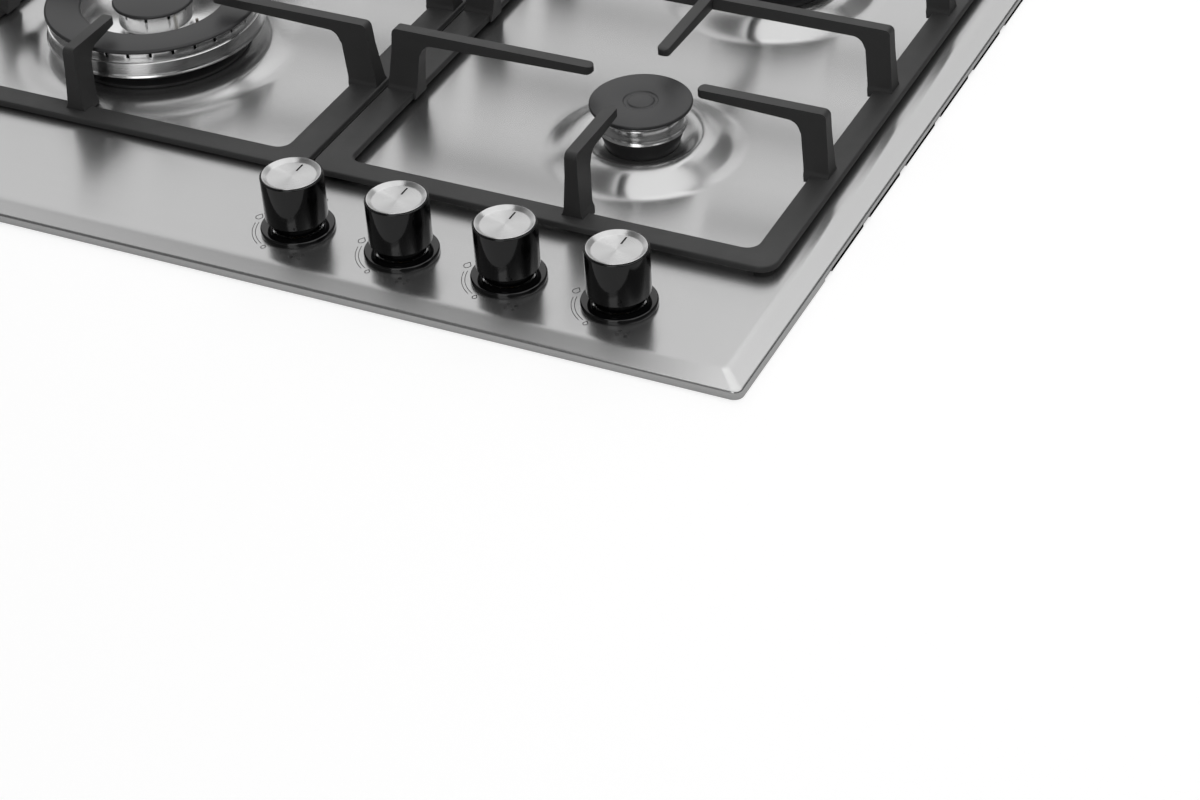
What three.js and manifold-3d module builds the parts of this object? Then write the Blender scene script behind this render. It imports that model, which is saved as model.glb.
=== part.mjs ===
// Built-in gas cooktop: a pressed steel sheet over a folded tray, four burners, four gas taps
// with knobs, and two cast pan supports that lift off.
// Millimetres, +Z up, +Y towards the back, origin in the middle of the tray's underside.
import * as THREE from 'three';
import { mergeVertices } from 'three/addons/utils/BufferGeometryUtils.js';
import Module from 'manifold-3d';

const wasm = await Module();
wasm.setup();

// ---- Driving dimensions ----------------------------------------------------------------
const RUNNING_GAP = 0.3;

// Top sheet: outline, folded rim and the height of its flat above the worktop.
const SHEET_WIDTH = 580;
const SHEET_DEPTH = 500;
const SHEET_THICKNESS = 1;
const SHEET_CORNER_RADIUS = 5;
const RIM_HEIGHT = 8;
const RIM_SLOPE_DROP = 3;
const RIM_SLOPE_WIDTH = 10;
const RIM_NOSE = 1.4;
const NOTCH_LENGTH = 9.5;
const NOTCH_HEIGHT = 2.2;
const NOTCH_PITCH = 53;
const NOTCH_COUNT = 7;

// Tray under the sheet: it hangs through the cut-out in the worktop.
const TRAY_MARGIN_SIDE = 14;
const TRAY_MARGIN_END = 14;
const TRAY_WIDTH = SHEET_WIDTH - 2 * TRAY_MARGIN_SIDE;
const TRAY_DEPTH = SHEET_DEPTH - 2 * TRAY_MARGIN_END;
const TRAY_DROP = 46;
const TRAY_WALL = 1;
const TRAY_CORNER_RADIUS = 8;
const SEAL_WIDTH = 7;

// Burners: heights are above the flat of the sheet, margins run from its edges to a centre.
const BURNER_MARGIN_RIGHT = 134;
const BURNER_MARGIN_LEFT = 140;
const BURNER_MARGIN_FRONT = 180.4;
const DOME_WIDTH = 28.2;
const DOME_CREST_WIDTH = 5.6;
const DOME_CREST_HEIGHT = 8.2;
const DOME_SEAT_HEIGHT = 2.5;
const CUP_WALL = 6.5;
const CUP_DEPTH = 26;
const CUP_CHAMBER_DEPTH = 12;
const CUP_NECK_RADIUS = 10;
const CUP_NECK_LENGTH = 8;
const CUP_TAPER = 4;
const CUP_STEP = 3;
const BOSS_DROP = 22;
const BOSS_REACH = 16;
const CROWN_SEAT_HEIGHT = 14;
const CROWN_BAND_TOP = 22.7;
const CROWN_TOP = 25.2;
const CROWN_OVERHANG = 4.8;
const CROWN_WALL = 4.5;
const CROWN_FLOOR = 3;
const CROWN_TAPER = 1.4;
const PORT_SETBACK = 2.2;
const CAP_THICKNESS = 3.1;
const CAP_OVERHANG = 3.2;
const CAP_GROOVE_RADIUS = 8.3;
const CAP_GROOVE_WIDTH = 2.4;
const CAP_GROOVE_DEPTH = 0.6;
const PORT_WIDTH = 1.4;
const THROAT_RADIUS = 6;
const SPIGOT_DEPTH = 6;
const SPIGOT_CLEARANCE = 0.8;

// Double-ring burner.
const WOK_DOME_CREST_HEIGHT = 3.6;
const WOK_DOME_SEAT_HEIGHT = 1.5;
const WOK_CROWN_TOP = 28.2;
const WOK_CAP_THICKNESS = 2.7;
const WOK_FLANGE_THICKNESS = 2;
const WOK_CUP_RADIUS = 46;
const WOK_NECK_RADIUS = 24;
const WOK_RING_INNER_RADIUS = 43;
const WOK_TOWER_RADIUS = 21;

// Spark electrodes.
const CERAMIC_RADIUS = 2.6;
const PIN_RADIUS = 0.9;

// Pan supports.
const SUPPORT_MARGIN_SIDE = 19.8;
const SUPPORT_SEAM_GAP = 4.8;
const SUPPORT_MARGIN_FRONT = 87.4;
const SUPPORT_MARGIN_BACK = 43.6;
const SUPPORT_CORNER_RADIUS = 10;
const SUPPORT_INNER_RADIUS = 7;
const FRAME_THICKNESS = 4;
const FRAME_BEVEL = 0.8;
const FRONT_BAR_WIDTH = 14.4;
const SIDE_BAR_WIDTH = 15.4;
const SEAM_BAR_WIDTH = 17.6;
const FINGER_RISE = 37;
const FINGER_WIDTH = 6.6;
const POST_FOOT_WIDTH = 10.5;
const FINGER_TIP_DEPTH = 4.8;
const FINGER_ROOT_DEPTH = 7;
const FINGER_CORNER_RADIUS = 3;
const POST_FILLET_RADIUS = 7;
const POST_FLARE = 1.2;
const RIGHT_FOOT_HEIGHT = 3;
const LEFT_FOOT_HEIGHT = 1;
const FOOT_RADIUS = 5.5;

// Distances from the frame bar's outer edge to the outer and inner side of each post.
const END_POST = { outerFoot: 6.8, outerTop: 9.1, innerFoot: 20.6, innerTop: 24.6 };
const SIDE_POST = { outerFoot: 4.7, outerTop: 7.2, innerFoot: 18.7, innerTop: 21.7 };
const SEAM_POST = { outerFoot: 0.6, outerTop: 5.8, innerFoot: 18.6, innerTop: 23.1 };

// Knobs and taps.
const KNOB_MARGIN_RIGHT = 83.2;
const KNOB_PITCH = 61.5;
const KNOB_MARGIN_FRONT = 43;
const KNOB_COUNT = 4;
const KNOB_TOP = 33.8;
const KNOB_RADIUS = 16.5;
const KNOB_NECK_RADIUS = 13.5;
const KNOB_SHOULDER_HEIGHT = 8.1;
const KNOB_WALL = 2.2;
const KNOB_PUSH = 3;
const DISC_RADIUS = 15.5;
const DISC_THICKNESS = 2.6;
const DISC_EDGE = 0.4;
const DISC_RIM_WIDTH = 2.8;
const DISC_DISH_DEPTH = 1.7;
const MARK_START = 5;
const MARK_END = 11.4;
const MARK_WIDTH = 1;
const MARK_DEPTH = 0.4;
const COLLAR_HEIGHT = 3;
const COLLAR_RADIUS = 19.6;
const COLLAR_CLEARANCE = 0.5;
const SPINDLE_RADIUS = 4;
const SPINDLE_TOP = 22;
const SPINDLE_FLAT_DEPTH = 1.4;
const SPINDLE_SEAT_DEPTH = 14;
const SHEET_SPINDLE_CLEARANCE = 2;
const RAIL_RADIUS = 8;
const RAIL_SETBACK = 19;
const PIPE_HEIGHT = 18;
const TAP_WIDTH = 22;
const TAP_LENGTH = 27;
const TAP_LOW_Z = 14;
const TAP_TOP_Z = 45;
const TAP_BODY_HEIGHT = 20;
const TAP_NECK_RADIUS = 7.5;
const TAP_OUTLET_RADIUS = 6;
const TAP_OUTLET_LENGTH = 12;
const TUBE_RADIUS = 4;
const INLET_RADIUS = 10.5;
const INLET_PROUD = 10;
const INLET_DEPTH = 14;
const INLET_BORE_RADIUS = 6;
const GLAND_RADIUS = 7;
const CLAMP_WIDTH = 30;
const CLAMP_ARM = 12;
const CLAMP_HEIGHT = 12;
const CLAMP_THICKNESS = 2;
const MODULE = { x: -10, marginBack: 60, width: 90, depth: 40, height: 24 };

// ---- Derived levels --------------------------------------------------------------------
const WORKTOP_Z = TRAY_DROP;
const SHEET_Z = WORKTOP_Z + RIM_HEIGHT;
const SHEET_UNDERSIDE_Z = SHEET_Z - SHEET_THICKNESS;
const TRAY_TOP_Z = SHEET_UNDERSIDE_Z - RUNNING_GAP;
const HALF_WIDTH = SHEET_WIDTH / 2;
const HALF_DEPTH = SHEET_DEPTH / 2;
const SEAM_X = SUPPORT_SEAM_GAP / 2;
const SUPPORT_OUTER_X = HALF_WIDTH - SUPPORT_MARGIN_SIDE;
const SUPPORT_FRONT_Y = SUPPORT_MARGIN_FRONT - HALF_DEPTH;
const SUPPORT_BACK_Y = HALF_DEPTH - SUPPORT_MARGIN_BACK;
const SUPPORT_MIDDLE_Y = (SUPPORT_FRONT_Y + SUPPORT_BACK_Y) / 2;
const KNOB_FIRST_X = HALF_WIDTH - KNOB_MARGIN_RIGHT;
const KNOB_Y = KNOB_MARGIN_FRONT - HALF_DEPTH;
const RIGHT_BURNER_X = HALF_WIDTH - BURNER_MARGIN_RIGHT;
const LEFT_BURNER_X = BURNER_MARGIN_LEFT - HALF_WIDTH;
const FRONT_BURNER_Y = BURNER_MARGIN_FRONT - HALF_DEPTH;
const REAR_BURNER_Y = 2 * SUPPORT_MIDDLE_Y - FRONT_BURNER_Y;

// Each burner: centre, cap radius, dome radii, the number of flame ports, the side its
// electrode stands on and the next point on its gas tube.
const BURNERS = [
  {
    name: 'front_right', x: RIGHT_BURNER_X, y: FRONT_BURNER_Y, capRadius: 27.8, ports: 20, sparkAngle: 130,
    bend: [RIGHT_BURNER_X + 40, FRONT_BURNER_Y - 50.4], fingerTips: [32.8, 27.3, 33.8, 27.9],
  },
  {
    name: 'rear_right', x: RIGHT_BURNER_X, y: REAR_BURNER_Y, capRadius: 37.5, ports: 24, sparkAngle: 130,
    bend: [RIGHT_BURNER_X - 48, FRONT_BURNER_Y + 29.6], fingerTips: [32, 32, 32, 32],
  },
  {
    name: 'rear_left', x: LEFT_BURNER_X, y: REAR_BURNER_Y, capRadius: 37.5, ports: 24, sparkAngle: 50,
    bend: [0, FRONT_BURNER_Y + 29.6], fingerTips: [32, 32, 32, 32],
  },
];
for (const burner of BURNERS) {
  burner.domeRadius = burner.capRadius + DOME_WIDTH;
  burner.crestRadius = burner.capRadius + DOME_CREST_WIDTH;
  burner.crestHeight = DOME_CREST_HEIGHT;
  burner.seatHeight = DOME_SEAT_HEIGHT;
  burner.crownRadius = burner.capRadius - CAP_OVERHANG;
  burner.shoulderRadius = burner.crownRadius - CROWN_OVERHANG;
  burner.seatRadius = burner.shoulderRadius + 1.5;
  burner.holeRadius = burner.shoulderRadius - CUP_STEP + RUNNING_GAP;
  burner.bossReach = BOSS_REACH;
  burner.cupSides = 16;
  burner.sparkRadius = burner.crownRadius + CERAMIC_RADIUS + 1.2;
  burner.pinTop = CROWN_BAND_TOP;
  burner.ceramicTop = CROWN_SEAT_HEIGHT + 3;
}
const WOK = {
  name: 'front_left', x: LEFT_BURNER_X, y: FRONT_BURNER_Y, capRadius: 62, ports: 30, sparkAngle: -12,
  bend: [LEFT_BURNER_X + 90, FRONT_BURNER_Y - 48.4], fingerTips: [42, 42, 42, 42],
  domeRadius: 84, crestRadius: 66, crestHeight: WOK_DOME_CREST_HEIGHT, seatHeight: WOK_DOME_SEAT_HEIGHT,
  shoulderRadius: 53, seatRadius: 56, holeRadius: WOK_CUP_RADIUS - 6 + RUNNING_GAP, bossReach: 32,
  cupSides: 20, sparkRadius: 34, pinTop: 27, ceramicTop: 22,
};

// ---- Solids ----------------------------------------------------------------------------
function toSolid(geometry) {
  const bare = new THREE.BufferGeometry();
  bare.setAttribute('position', geometry.getAttribute('position'));
  bare.setIndex(geometry.getIndex());
  const merged = mergeVertices(bare, 1e-4);
  const index = merged.getIndex().array;
  const triangles = [];
  for (let i = 0; i < index.length; i += 3) {
    const [a, b, c] = index.slice(i, i + 3);
    if (a !== b && b !== c && c !== a) triangles.push(a, b, c);
  }
  const vertProperties = Float32Array.from(merged.getAttribute('position').array);
  const triVerts = Uint32Array.from(triangles);
  return new wasm.Manifold(new wasm.Mesh({ numProp: 3, vertProperties, triVerts }));
}

const union = (solids) => solids.reduce((sum, next) => sum.add(next));
const cut = (solid, tools) => tools.reduce((rest, tool) => rest.subtract(tool), solid);

function toGeometry(solid) {
  const mesh = solid.getMesh();
  const geometry = new THREE.BufferGeometry();
  geometry.setAttribute('position', new THREE.BufferAttribute(Float32Array.from(mesh.vertProperties), 3));
  geometry.setIndex(new THREE.BufferAttribute(Uint32Array.from(mesh.triVerts), 1));
  geometry.computeVertexNormals();
  return geometry;
}

// A profile of [radius, z] points turned about the vertical axis; it starts and ends on the
// axis, or closes on itself.
function turned(profile, segments, x = 0, y = 0) {
  const points = profile.map(([radius, z]) => new THREE.Vector2(radius, z));
  if (profile[0][0] > 0) points.push(points[0].clone());
  const geometry = new THREE.LatheGeometry(points, segments);
  geometry.rotateX(Math.PI / 2);
  geometry.translate(x, y, 0);
  return toSolid(geometry);
}

function box(low, high) {
  const size = high.map((value, axis) => value - low[axis]);
  const geometry = new THREE.BoxGeometry(...size);
  geometry.translate(...low.map((value, axis) => value + size[axis] / 2));
  return toSolid(geometry);
}

// A round bar between two points.
function bar(from, to, radius, segments) {
  const start = new THREE.Vector3(...from);
  const direction = new THREE.Vector3(...to).sub(start);
  const geometry = new THREE.CylinderGeometry(radius, radius, direction.length(), segments);
  const upright = new THREE.Vector3(0, 1, 0);
  const turn = new THREE.Quaternion().setFromUnitVectors(upright, direction.clone().normalize());
  geometry.applyQuaternion(turn);
  geometry.translate(...start.addScaledVector(direction, 0.5).toArray());
  return toSolid(geometry);
}

function roundedRect(width, depth, radius, centreX = 0, centreY = 0) {
  const right = centreX + width / 2;
  const left = centreX - width / 2;
  const back = centreY + depth / 2;
  const front = centreY - depth / 2;
  const shape = new THREE.Shape();
  shape.moveTo(left + radius, front);
  shape.absarc(right - radius, front + radius, radius, -Math.PI / 2, 0);
  shape.absarc(right - radius, back - radius, radius, 0, Math.PI / 2);
  shape.absarc(left + radius, back - radius, radius, Math.PI / 2, Math.PI);
  shape.absarc(left + radius, front + radius, radius, Math.PI, 1.5 * Math.PI);
  return shape;
}

function prism(shape, low, high, curveSegments = 2) {
  const options = { depth: high - low, bevelEnabled: false, curveSegments };
  const geometry = new THREE.ExtrudeGeometry(shape, options);
  geometry.translate(0, 0, low);
  return toSolid(geometry);
}

// A stack of equal-sided rings, listed upwards, skinned and capped.
function loft(rings) {
  const sides = rings[0].length;
  const vertices = rings.flat();
  const triangles = [];
  for (let level = 0; level + 1 < rings.length; level += 1) {
    for (let i = 0; i < sides; i += 1) {
      const next = (i + 1) % sides;
      const lower = level * sides;
      const upper = lower + sides;
      triangles.push(lower + i, lower + next, upper + next, lower + i, upper + next, upper + i);
    }
  }
  const top = (rings.length - 1) * sides;
  for (let i = 1; i + 1 < sides; i += 1) {
    triangles.push(0, i + 1, i);
    triangles.push(top, top + i, top + i + 1);
  }
  const geometry = new THREE.BufferGeometry();
  const positions = vertices.flatMap((vertex) => vertex.toArray());
  geometry.setAttribute('position', new THREE.Float32BufferAttribute(positions, 3));
  geometry.setIndex(triangles);
  return toSolid(geometry);
}

// The outline of a rounded rectangle drawn in by an inset, at one height.
function rectRing(rect, inset, z) {
  const radius = Math.max(rect.radius - inset, 1);
  const shape = roundedRect(rect.width - 2 * inset, rect.depth - 2 * inset, radius, rect.x, rect.y);
  const outline = shape.getPoints(2);
  outline.pop();
  return outline.map((point) => new THREE.Vector3(point.x, point.y, z));
}

const SHEET_OUTLINE = { x: 0, y: 0, width: SHEET_WIDTH, depth: SHEET_DEPTH, radius: SHEET_CORNER_RADIUS };
const outlineRing = (inset, z) => rectRing(SHEET_OUTLINE, inset, z);

// ---- Assembly --------------------------------------------------------------------------
const cooktop = new THREE.Group();

function add(name, solid, look) {
  const mesh = new THREE.Mesh(toGeometry(solid), new THREE.MeshStandardMaterial(look));
  mesh.name = name;
  cooktop.add(mesh);
}

const BRUSHED_STEEL = { color: 0xb4b4b4, metalness: 1, roughness: 0.35 };
const GALVANISED = { color: 0x9a9c9e, metalness: 0.8, roughness: 0.55 };
const ALUMINIUM = { color: 0xc9c9c9, metalness: 1, roughness: 0.3 };
const BLACK_ENAMEL = { color: 0x1b1b1c, metalness: 0, roughness: 0.45 };
const CAST_IRON = { color: 0x141414, metalness: 0.2, roughness: 0.6 };
const BLACK_PLASTIC = { color: 0x0b0b0c, metalness: 0, roughness: 0.15 };
const BRASS = { color: 0xb08d4a, metalness: 1, roughness: 0.4 };
const RUBBER = { color: 0x151515, metalness: 0, roughness: 0.9 };
const CERAMIC = { color: 0xe8e6e0, metalness: 0, roughness: 0.4 };

// ---- Top sheet -------------------------------------------------------------------------
const DOME_SIDES = 24;

// A cosine-shaped slope between two [radius, height] points, at the given shares of its run.
function swell([fromRadius, fromHeight], [toRadius, toHeight], shares) {
  return shares.map((share) => {
    const lift = (1 - Math.cos(Math.PI * share)) / 2;
    return [fromRadius + (toRadius - fromRadius) * share, fromHeight + (toHeight - fromHeight) * lift];
  });
}

// The pressed dome round a burner as a filled solid, dropped below the sheet's flat.
function domeSolid(burner, drop, base) {
  const foot = [burner.domeRadius, 0];
  const crest = [burner.crestRadius, burner.crestHeight];
  const seat = [burner.seatRadius, burner.seatHeight];
  const rise = swell(foot, crest, [0.3, 0.7, 1]);
  const fall = swell(crest, seat, [0.35, 1]);
  const skin = [foot, ...rise, ...fall, [0, burner.seatHeight]];
  const level = SHEET_Z - drop;
  const profile = [[0, level - base], [burner.domeRadius, level - base]];
  skin.forEach(([radius, height]) => profile.push([radius, level + height]));
  return turned(profile, DOME_SIDES, burner.x, burner.y);
}

function knobX(index) {
  return KNOB_FIRST_X - (KNOB_COUNT - 1 - index) * KNOB_PITCH;
}

function sparkPlace(burner) {
  const angle = THREE.MathUtils.degToRad(burner.sparkAngle);
  return [burner.x + burner.sparkRadius * Math.cos(angle), burner.y + burner.sparkRadius * Math.sin(angle)];
}

function topSheet() {
  const noseZ = SHEET_Z - RIM_SLOPE_DROP;
  const slopeInset = RIM_NOSE + RIM_SLOPE_WIDTH;
  const outer = loft([
    outlineRing(0, WORKTOP_Z),
    outlineRing(0, noseZ - RIM_NOSE),
    outlineRing(0.4 * RIM_NOSE, noseZ - 0.35 * RIM_NOSE),
    outlineRing(RIM_NOSE, noseZ),
    outlineRing(slopeInset, SHEET_Z),
  ]);
  const inner = loft([
    outlineRing(SHEET_THICKNESS, WORKTOP_Z - 1),
    outlineRing(SHEET_THICKNESS, noseZ - RIM_NOSE - 0.3),
    outlineRing(RIM_NOSE + 0.3, noseZ - SHEET_THICKNESS),
    outlineRing(slopeInset + 0.2, SHEET_UNDERSIDE_Z),
  ]);
  const burners = [...BURNERS, WOK];
  const domes = burners.map((burner) => domeSolid(burner, 0, SHEET_THICKNESS / 2));
  const hollows = burners.map((burner) => domeSolid(burner, SHEET_THICKNESS, 1));
  const low = WORKTOP_Z - 1;
  const high = SHEET_Z + DOME_CREST_HEIGHT + 1;
  const holes = burners.map(({ x, y, holeRadius, cupSides }) => turned(
    [[0, low], [holeRadius, low], [holeRadius, high], [0, high]], cupSides, x, y,
  ));
  for (const burner of BURNERS) {
    const [x, y] = sparkPlace(burner);
    holes.push(bar([x, y, low], [x, y, high], CERAMIC_RADIUS + RUNNING_GAP, 8));
  }
  for (let i = 0; i < KNOB_COUNT; i += 1) {
    const radius = SPINDLE_RADIUS + SHEET_SPINDLE_CLEARANCE;
    holes.push(bar([knobX(i), KNOB_Y, low], [knobX(i), KNOB_Y, high], radius, 10));
  }
  for (let i = 0; i < NOTCH_COUNT; i += 1) {
    const y = SUPPORT_MIDDLE_Y + (i - (NOTCH_COUNT - 1) / 2) * NOTCH_PITCH;
    const notchTop = WORKTOP_Z + NOTCH_HEIGHT;
    const span = [y - NOTCH_LENGTH / 2, y + NOTCH_LENGTH / 2];
    holes.push(box([-HALF_WIDTH - 1, span[0], low], [-HALF_WIDTH + 2, span[1], notchTop]));
    holes.push(box([HALF_WIDTH - 2, span[0], low], [HALF_WIDTH + 1, span[1], notchTop]));
  }
  return cut(union([cut(outer, [inner]), ...domes]), [...hollows, ...holes]);
}
add('top_sheet', topSheet(), BRUSHED_STEEL);

// ---- Tray, seal and clamps -------------------------------------------------------------
const INLET_X = TRAY_WIDTH / 2 - TRAY_WALL - INLET_RADIUS - 7;
const GLAND = { x: -120, z: 22 };
const TRAY_BACK_Y = TRAY_DEPTH / 2;
const INLET_INNER_Y = TRAY_BACK_Y - INLET_DEPTH;

function tray() {
  const radius = TRAY_CORNER_RADIUS;
  const outer = prism(roundedRect(TRAY_WIDTH, TRAY_DEPTH, radius), 0, TRAY_TOP_Z);
  const cavity = roundedRect(TRAY_WIDTH - 2 * TRAY_WALL, TRAY_DEPTH - 2 * TRAY_WALL, radius - TRAY_WALL);
  const inner = prism(cavity, TRAY_WALL, TRAY_TOP_Z + 1);
  const wall = [TRAY_BACK_Y - 2 * TRAY_WALL, TRAY_BACK_Y + TRAY_WALL];
  const through = (x, z, radius, sides) => bar([x, wall[0], z], [x, wall[1], z], radius + RUNNING_GAP, sides);
  return cut(outer, [
    inner, through(INLET_X, PIPE_HEIGHT, INLET_RADIUS, 16), through(GLAND.x, GLAND.z, GLAND_RADIUS, 12),
  ]);
}
add('bottom_tray', tray(), GALVANISED);

// A foam strip that follows the underside of the sloping rim and lies on the worktop.
function seal() {
  const outerInset = SHEET_THICKNESS + 1.4;
  const innerInset = outerInset + SEAL_WIDTH;
  const slope = RIM_SLOPE_DROP / RIM_SLOPE_WIDTH;
  const noseUnderside = SHEET_UNDERSIDE_Z - RIM_SLOPE_DROP - 2 * RUNNING_GAP;
  const under = (inset) => noseUnderside + slope * (inset - RIM_NOSE);
  const outer = loft([
    outlineRing(outerInset, WORKTOP_Z),
    outlineRing(outerInset, under(outerInset)),
    outlineRing(innerInset, under(innerInset)),
  ]);
  const inner = loft([outlineRing(innerInset, WORKTOP_Z - 1), outlineRing(innerInset, SHEET_Z)]);
  return cut(outer, [inner]);
}
add('worktop_seal', seal(), RUBBER);

function clamp(side) {
  const wall = side * (TRAY_WIDTH / 2 + RUNNING_GAP);
  const plate = side * (TRAY_WIDTH / 2 + RUNNING_GAP + CLAMP_THICKNESS);
  const tip = side * (TRAY_WIDTH / 2 + CLAMP_ARM);
  const half = CLAMP_WIDTH / 2;
  const low = CLAMP_HEIGHT - CLAMP_THICKNESS;
  const leg = box([Math.min(wall, plate), -half, low], [Math.max(wall, plate), half, CLAMP_HEIGHT + 16]);
  const arm = box([Math.min(wall, tip), -half, low], [Math.max(wall, tip), half, CLAMP_HEIGHT]);
  const screw = bar([plate - side, 0, CLAMP_HEIGHT + 8], [plate + 2 * side, 0, CLAMP_HEIGHT + 8], 4, 8);
  return union([leg, arm, screw]);
}
add('worktop_clamp_left', clamp(-1), GALVANISED);
add('worktop_clamp_right', clamp(1), GALVANISED);

// ---- Burners ---------------------------------------------------------------------------
function ringOfSlots(count, innerRadius, outerRadius, low, high, x, y) {
  const slots = [];
  for (let i = 0; i < count; i += 1) {
    const geometry = new THREE.BoxGeometry(outerRadius - innerRadius, PORT_WIDTH, high - low);
    geometry.translate((innerRadius + outerRadius) / 2, 0, (low + high) / 2);
    geometry.rotateZ(2 * Math.PI * (i + 0.5) / count);
    geometry.translate(x, y, 0);
    slots.push(toSolid(geometry));
  }
  return slots;
}

// Unit direction in which a burner's gas boss points, towards its tube.
function bossDirection(burner) {
  return new THREE.Vector2(burner.bend[0] - burner.x, burner.bend[1] - burner.y).normalize();
}

function gasBoss(burner) {
  const way = bossDirection(burner);
  const z = SHEET_Z - BOSS_DROP;
  const tip = [burner.x + way.x * burner.bossReach, burner.y + way.y * burner.bossReach, z];
  return bar([burner.x, burner.y, z], tip, TUBE_RADIUS, 8);
}

function burnerCup(burner) {
  const seat = SHEET_Z + burner.seatHeight + RUNNING_GAP;
  const low = SHEET_Z - CUP_DEPTH;
  const lowRadius = burner.shoulderRadius - CUP_STEP;
  const chamberRadius = burner.shoulderRadius - CUP_WALL;
  const profile = [
    [0, low], [CUP_NECK_RADIUS, low], [CUP_NECK_RADIUS, low + CUP_NECK_LENGTH],
    [lowRadius, low + CUP_NECK_LENGTH + CUP_TAPER], [lowRadius, seat],
    [burner.shoulderRadius, seat], [burner.shoulderRadius, SHEET_Z + CROWN_SEAT_HEIGHT],
    [chamberRadius, SHEET_Z + CROWN_SEAT_HEIGHT], [chamberRadius, SHEET_Z - CUP_CHAMBER_DEPTH],
    [0, SHEET_Z - CUP_CHAMBER_DEPTH],
  ];
  return turned(profile, burner.cupSides, burner.x, burner.y).add(gasBoss(burner));
}

function flameCrown(burner) {
  const outer = burner.crownRadius;
  const port = outer - PORT_SETBACK;
  const inner = port - CROWN_WALL;
  const spigot = burner.shoulderRadius - CUP_WALL - SPIGOT_CLEARANCE;
  const level = (height) => SHEET_Z + height;
  const floor = CROWN_SEAT_HEIGHT + CROWN_FLOOR;
  const profile = [
    [THROAT_RADIUS, level(CROWN_SEAT_HEIGHT - SPIGOT_DEPTH)],
    [spigot, level(CROWN_SEAT_HEIGHT - SPIGOT_DEPTH)], [spigot, level(CROWN_SEAT_HEIGHT)],
    [outer, level(CROWN_SEAT_HEIGHT)],
    [outer - CROWN_TAPER, level(CROWN_BAND_TOP)], [port, level(CROWN_BAND_TOP)], [port, level(CROWN_TOP)],
    [inner, level(CROWN_TOP)], [inner, level(floor)], [THROAT_RADIUS, level(floor)],
  ];
  const body = turned(profile, burner.ports, burner.x, burner.y);
  const low = level(CROWN_BAND_TOP + 0.2);
  const slots = ringOfSlots(burner.ports, inner - 1, port + 1, low, level(CROWN_TOP + 1), burner.x, burner.y);
  return cut(body, [union(slots)]);
}

// A disc cap: chamfered below, rounded at the rim, with a ring groove and a locating collar.
function burnerCap(burner) {
  const rim = burner.capRadius;
  const low = SHEET_Z + CROWN_TOP;
  const top = low + CAP_THICKNESS;
  const collar = burner.crownRadius - PORT_SETBACK - CROWN_WALL - RUNNING_GAP;
  const groove = [CAP_GROOVE_RADIUS - CAP_GROOVE_WIDTH / 2, CAP_GROOVE_RADIUS + CAP_GROOVE_WIDTH / 2];
  const profile = [
    [0, low], [collar - 2, low], [collar - 2, low - 3], [collar, low - 3], [collar, low],
    [rim - 2.6, low], [rim, low + 1.3], [rim, top - 0.6], [rim - 0.6, top],
    [groove[1], top], [groove[1] - 0.4, top - CAP_GROOVE_DEPTH], [groove[0], top - CAP_GROOVE_DEPTH],
    [groove[0], top], [0, top],
  ];
  return turned(profile, burner.ports, burner.x, burner.y);
}

function electrode(burner, bottom) {
  const [x, y] = sparkPlace(burner);
  const level = (height) => SHEET_Z + height;
  const profile = [
    [0, level(bottom)], [CERAMIC_RADIUS, level(bottom)], [CERAMIC_RADIUS, level(burner.ceramicTop - 2)],
    [PIN_RADIUS, level(burner.ceramicTop)], [PIN_RADIUS, level(burner.pinTop)], [0, level(burner.pinTop)],
  ];
  return turned(profile, 8, x, y);
}

for (const burner of BURNERS) {
  add(`burner_cup_${burner.name}`, burnerCup(burner), BLACK_ENAMEL);
  add(`flame_crown_${burner.name}`, flameCrown(burner), ALUMINIUM);
  add(`burner_cap_${burner.name}`, burnerCap(burner), BLACK_ENAMEL);
  add(`spark_electrode_${burner.name}`, electrode(burner, -12), CERAMIC);
}

// Double-ring burner: one casting carries the outer ring and the centre tower.
const WOK_TOWER_PORTS = 10;
const WOK_NECK_STEP = 12;

function wokCup() {
  const level = (height) => SHEET_Z + height;
  const seat = WOK.seatHeight + RUNNING_GAP;
  const low = SHEET_Z - CUP_DEPTH;
  const lowRadius = WOK.holeRadius - RUNNING_GAP;
  const chamber = WOK_NECK_RADIUS + SPIGOT_CLEARANCE;
  const profile = [
    [0, low], [chamber - WOK_NECK_STEP, low], [chamber - WOK_NECK_STEP, low + 8], [lowRadius, low + 14],
    [lowRadius, level(seat)], [WOK.shoulderRadius, level(seat)],
    [WOK.shoulderRadius, level(seat + WOK_FLANGE_THICKNESS)],
    [WOK_CUP_RADIUS, level(seat + WOK_FLANGE_THICKNESS)],
    [WOK_CUP_RADIUS, level(CROWN_SEAT_HEIGHT)], [chamber, level(CROWN_SEAT_HEIGHT)],
    [chamber, SHEET_Z - CUP_CHAMBER_DEPTH + 4], [0, SHEET_Z - CUP_CHAMBER_DEPTH + 4],
  ];
  const [x, y] = sparkPlace(WOK);
  const high = level(CROWN_SEAT_HEIGHT + 1);
  const sparkHole = bar([x, y, low - 1], [x, y, high], CERAMIC_RADIUS + RUNNING_GAP, 10);
  return turned(profile, WOK.cupSides, WOK.x, WOK.y).add(gasBoss(WOK)).subtract(sparkHole);
}

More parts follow.
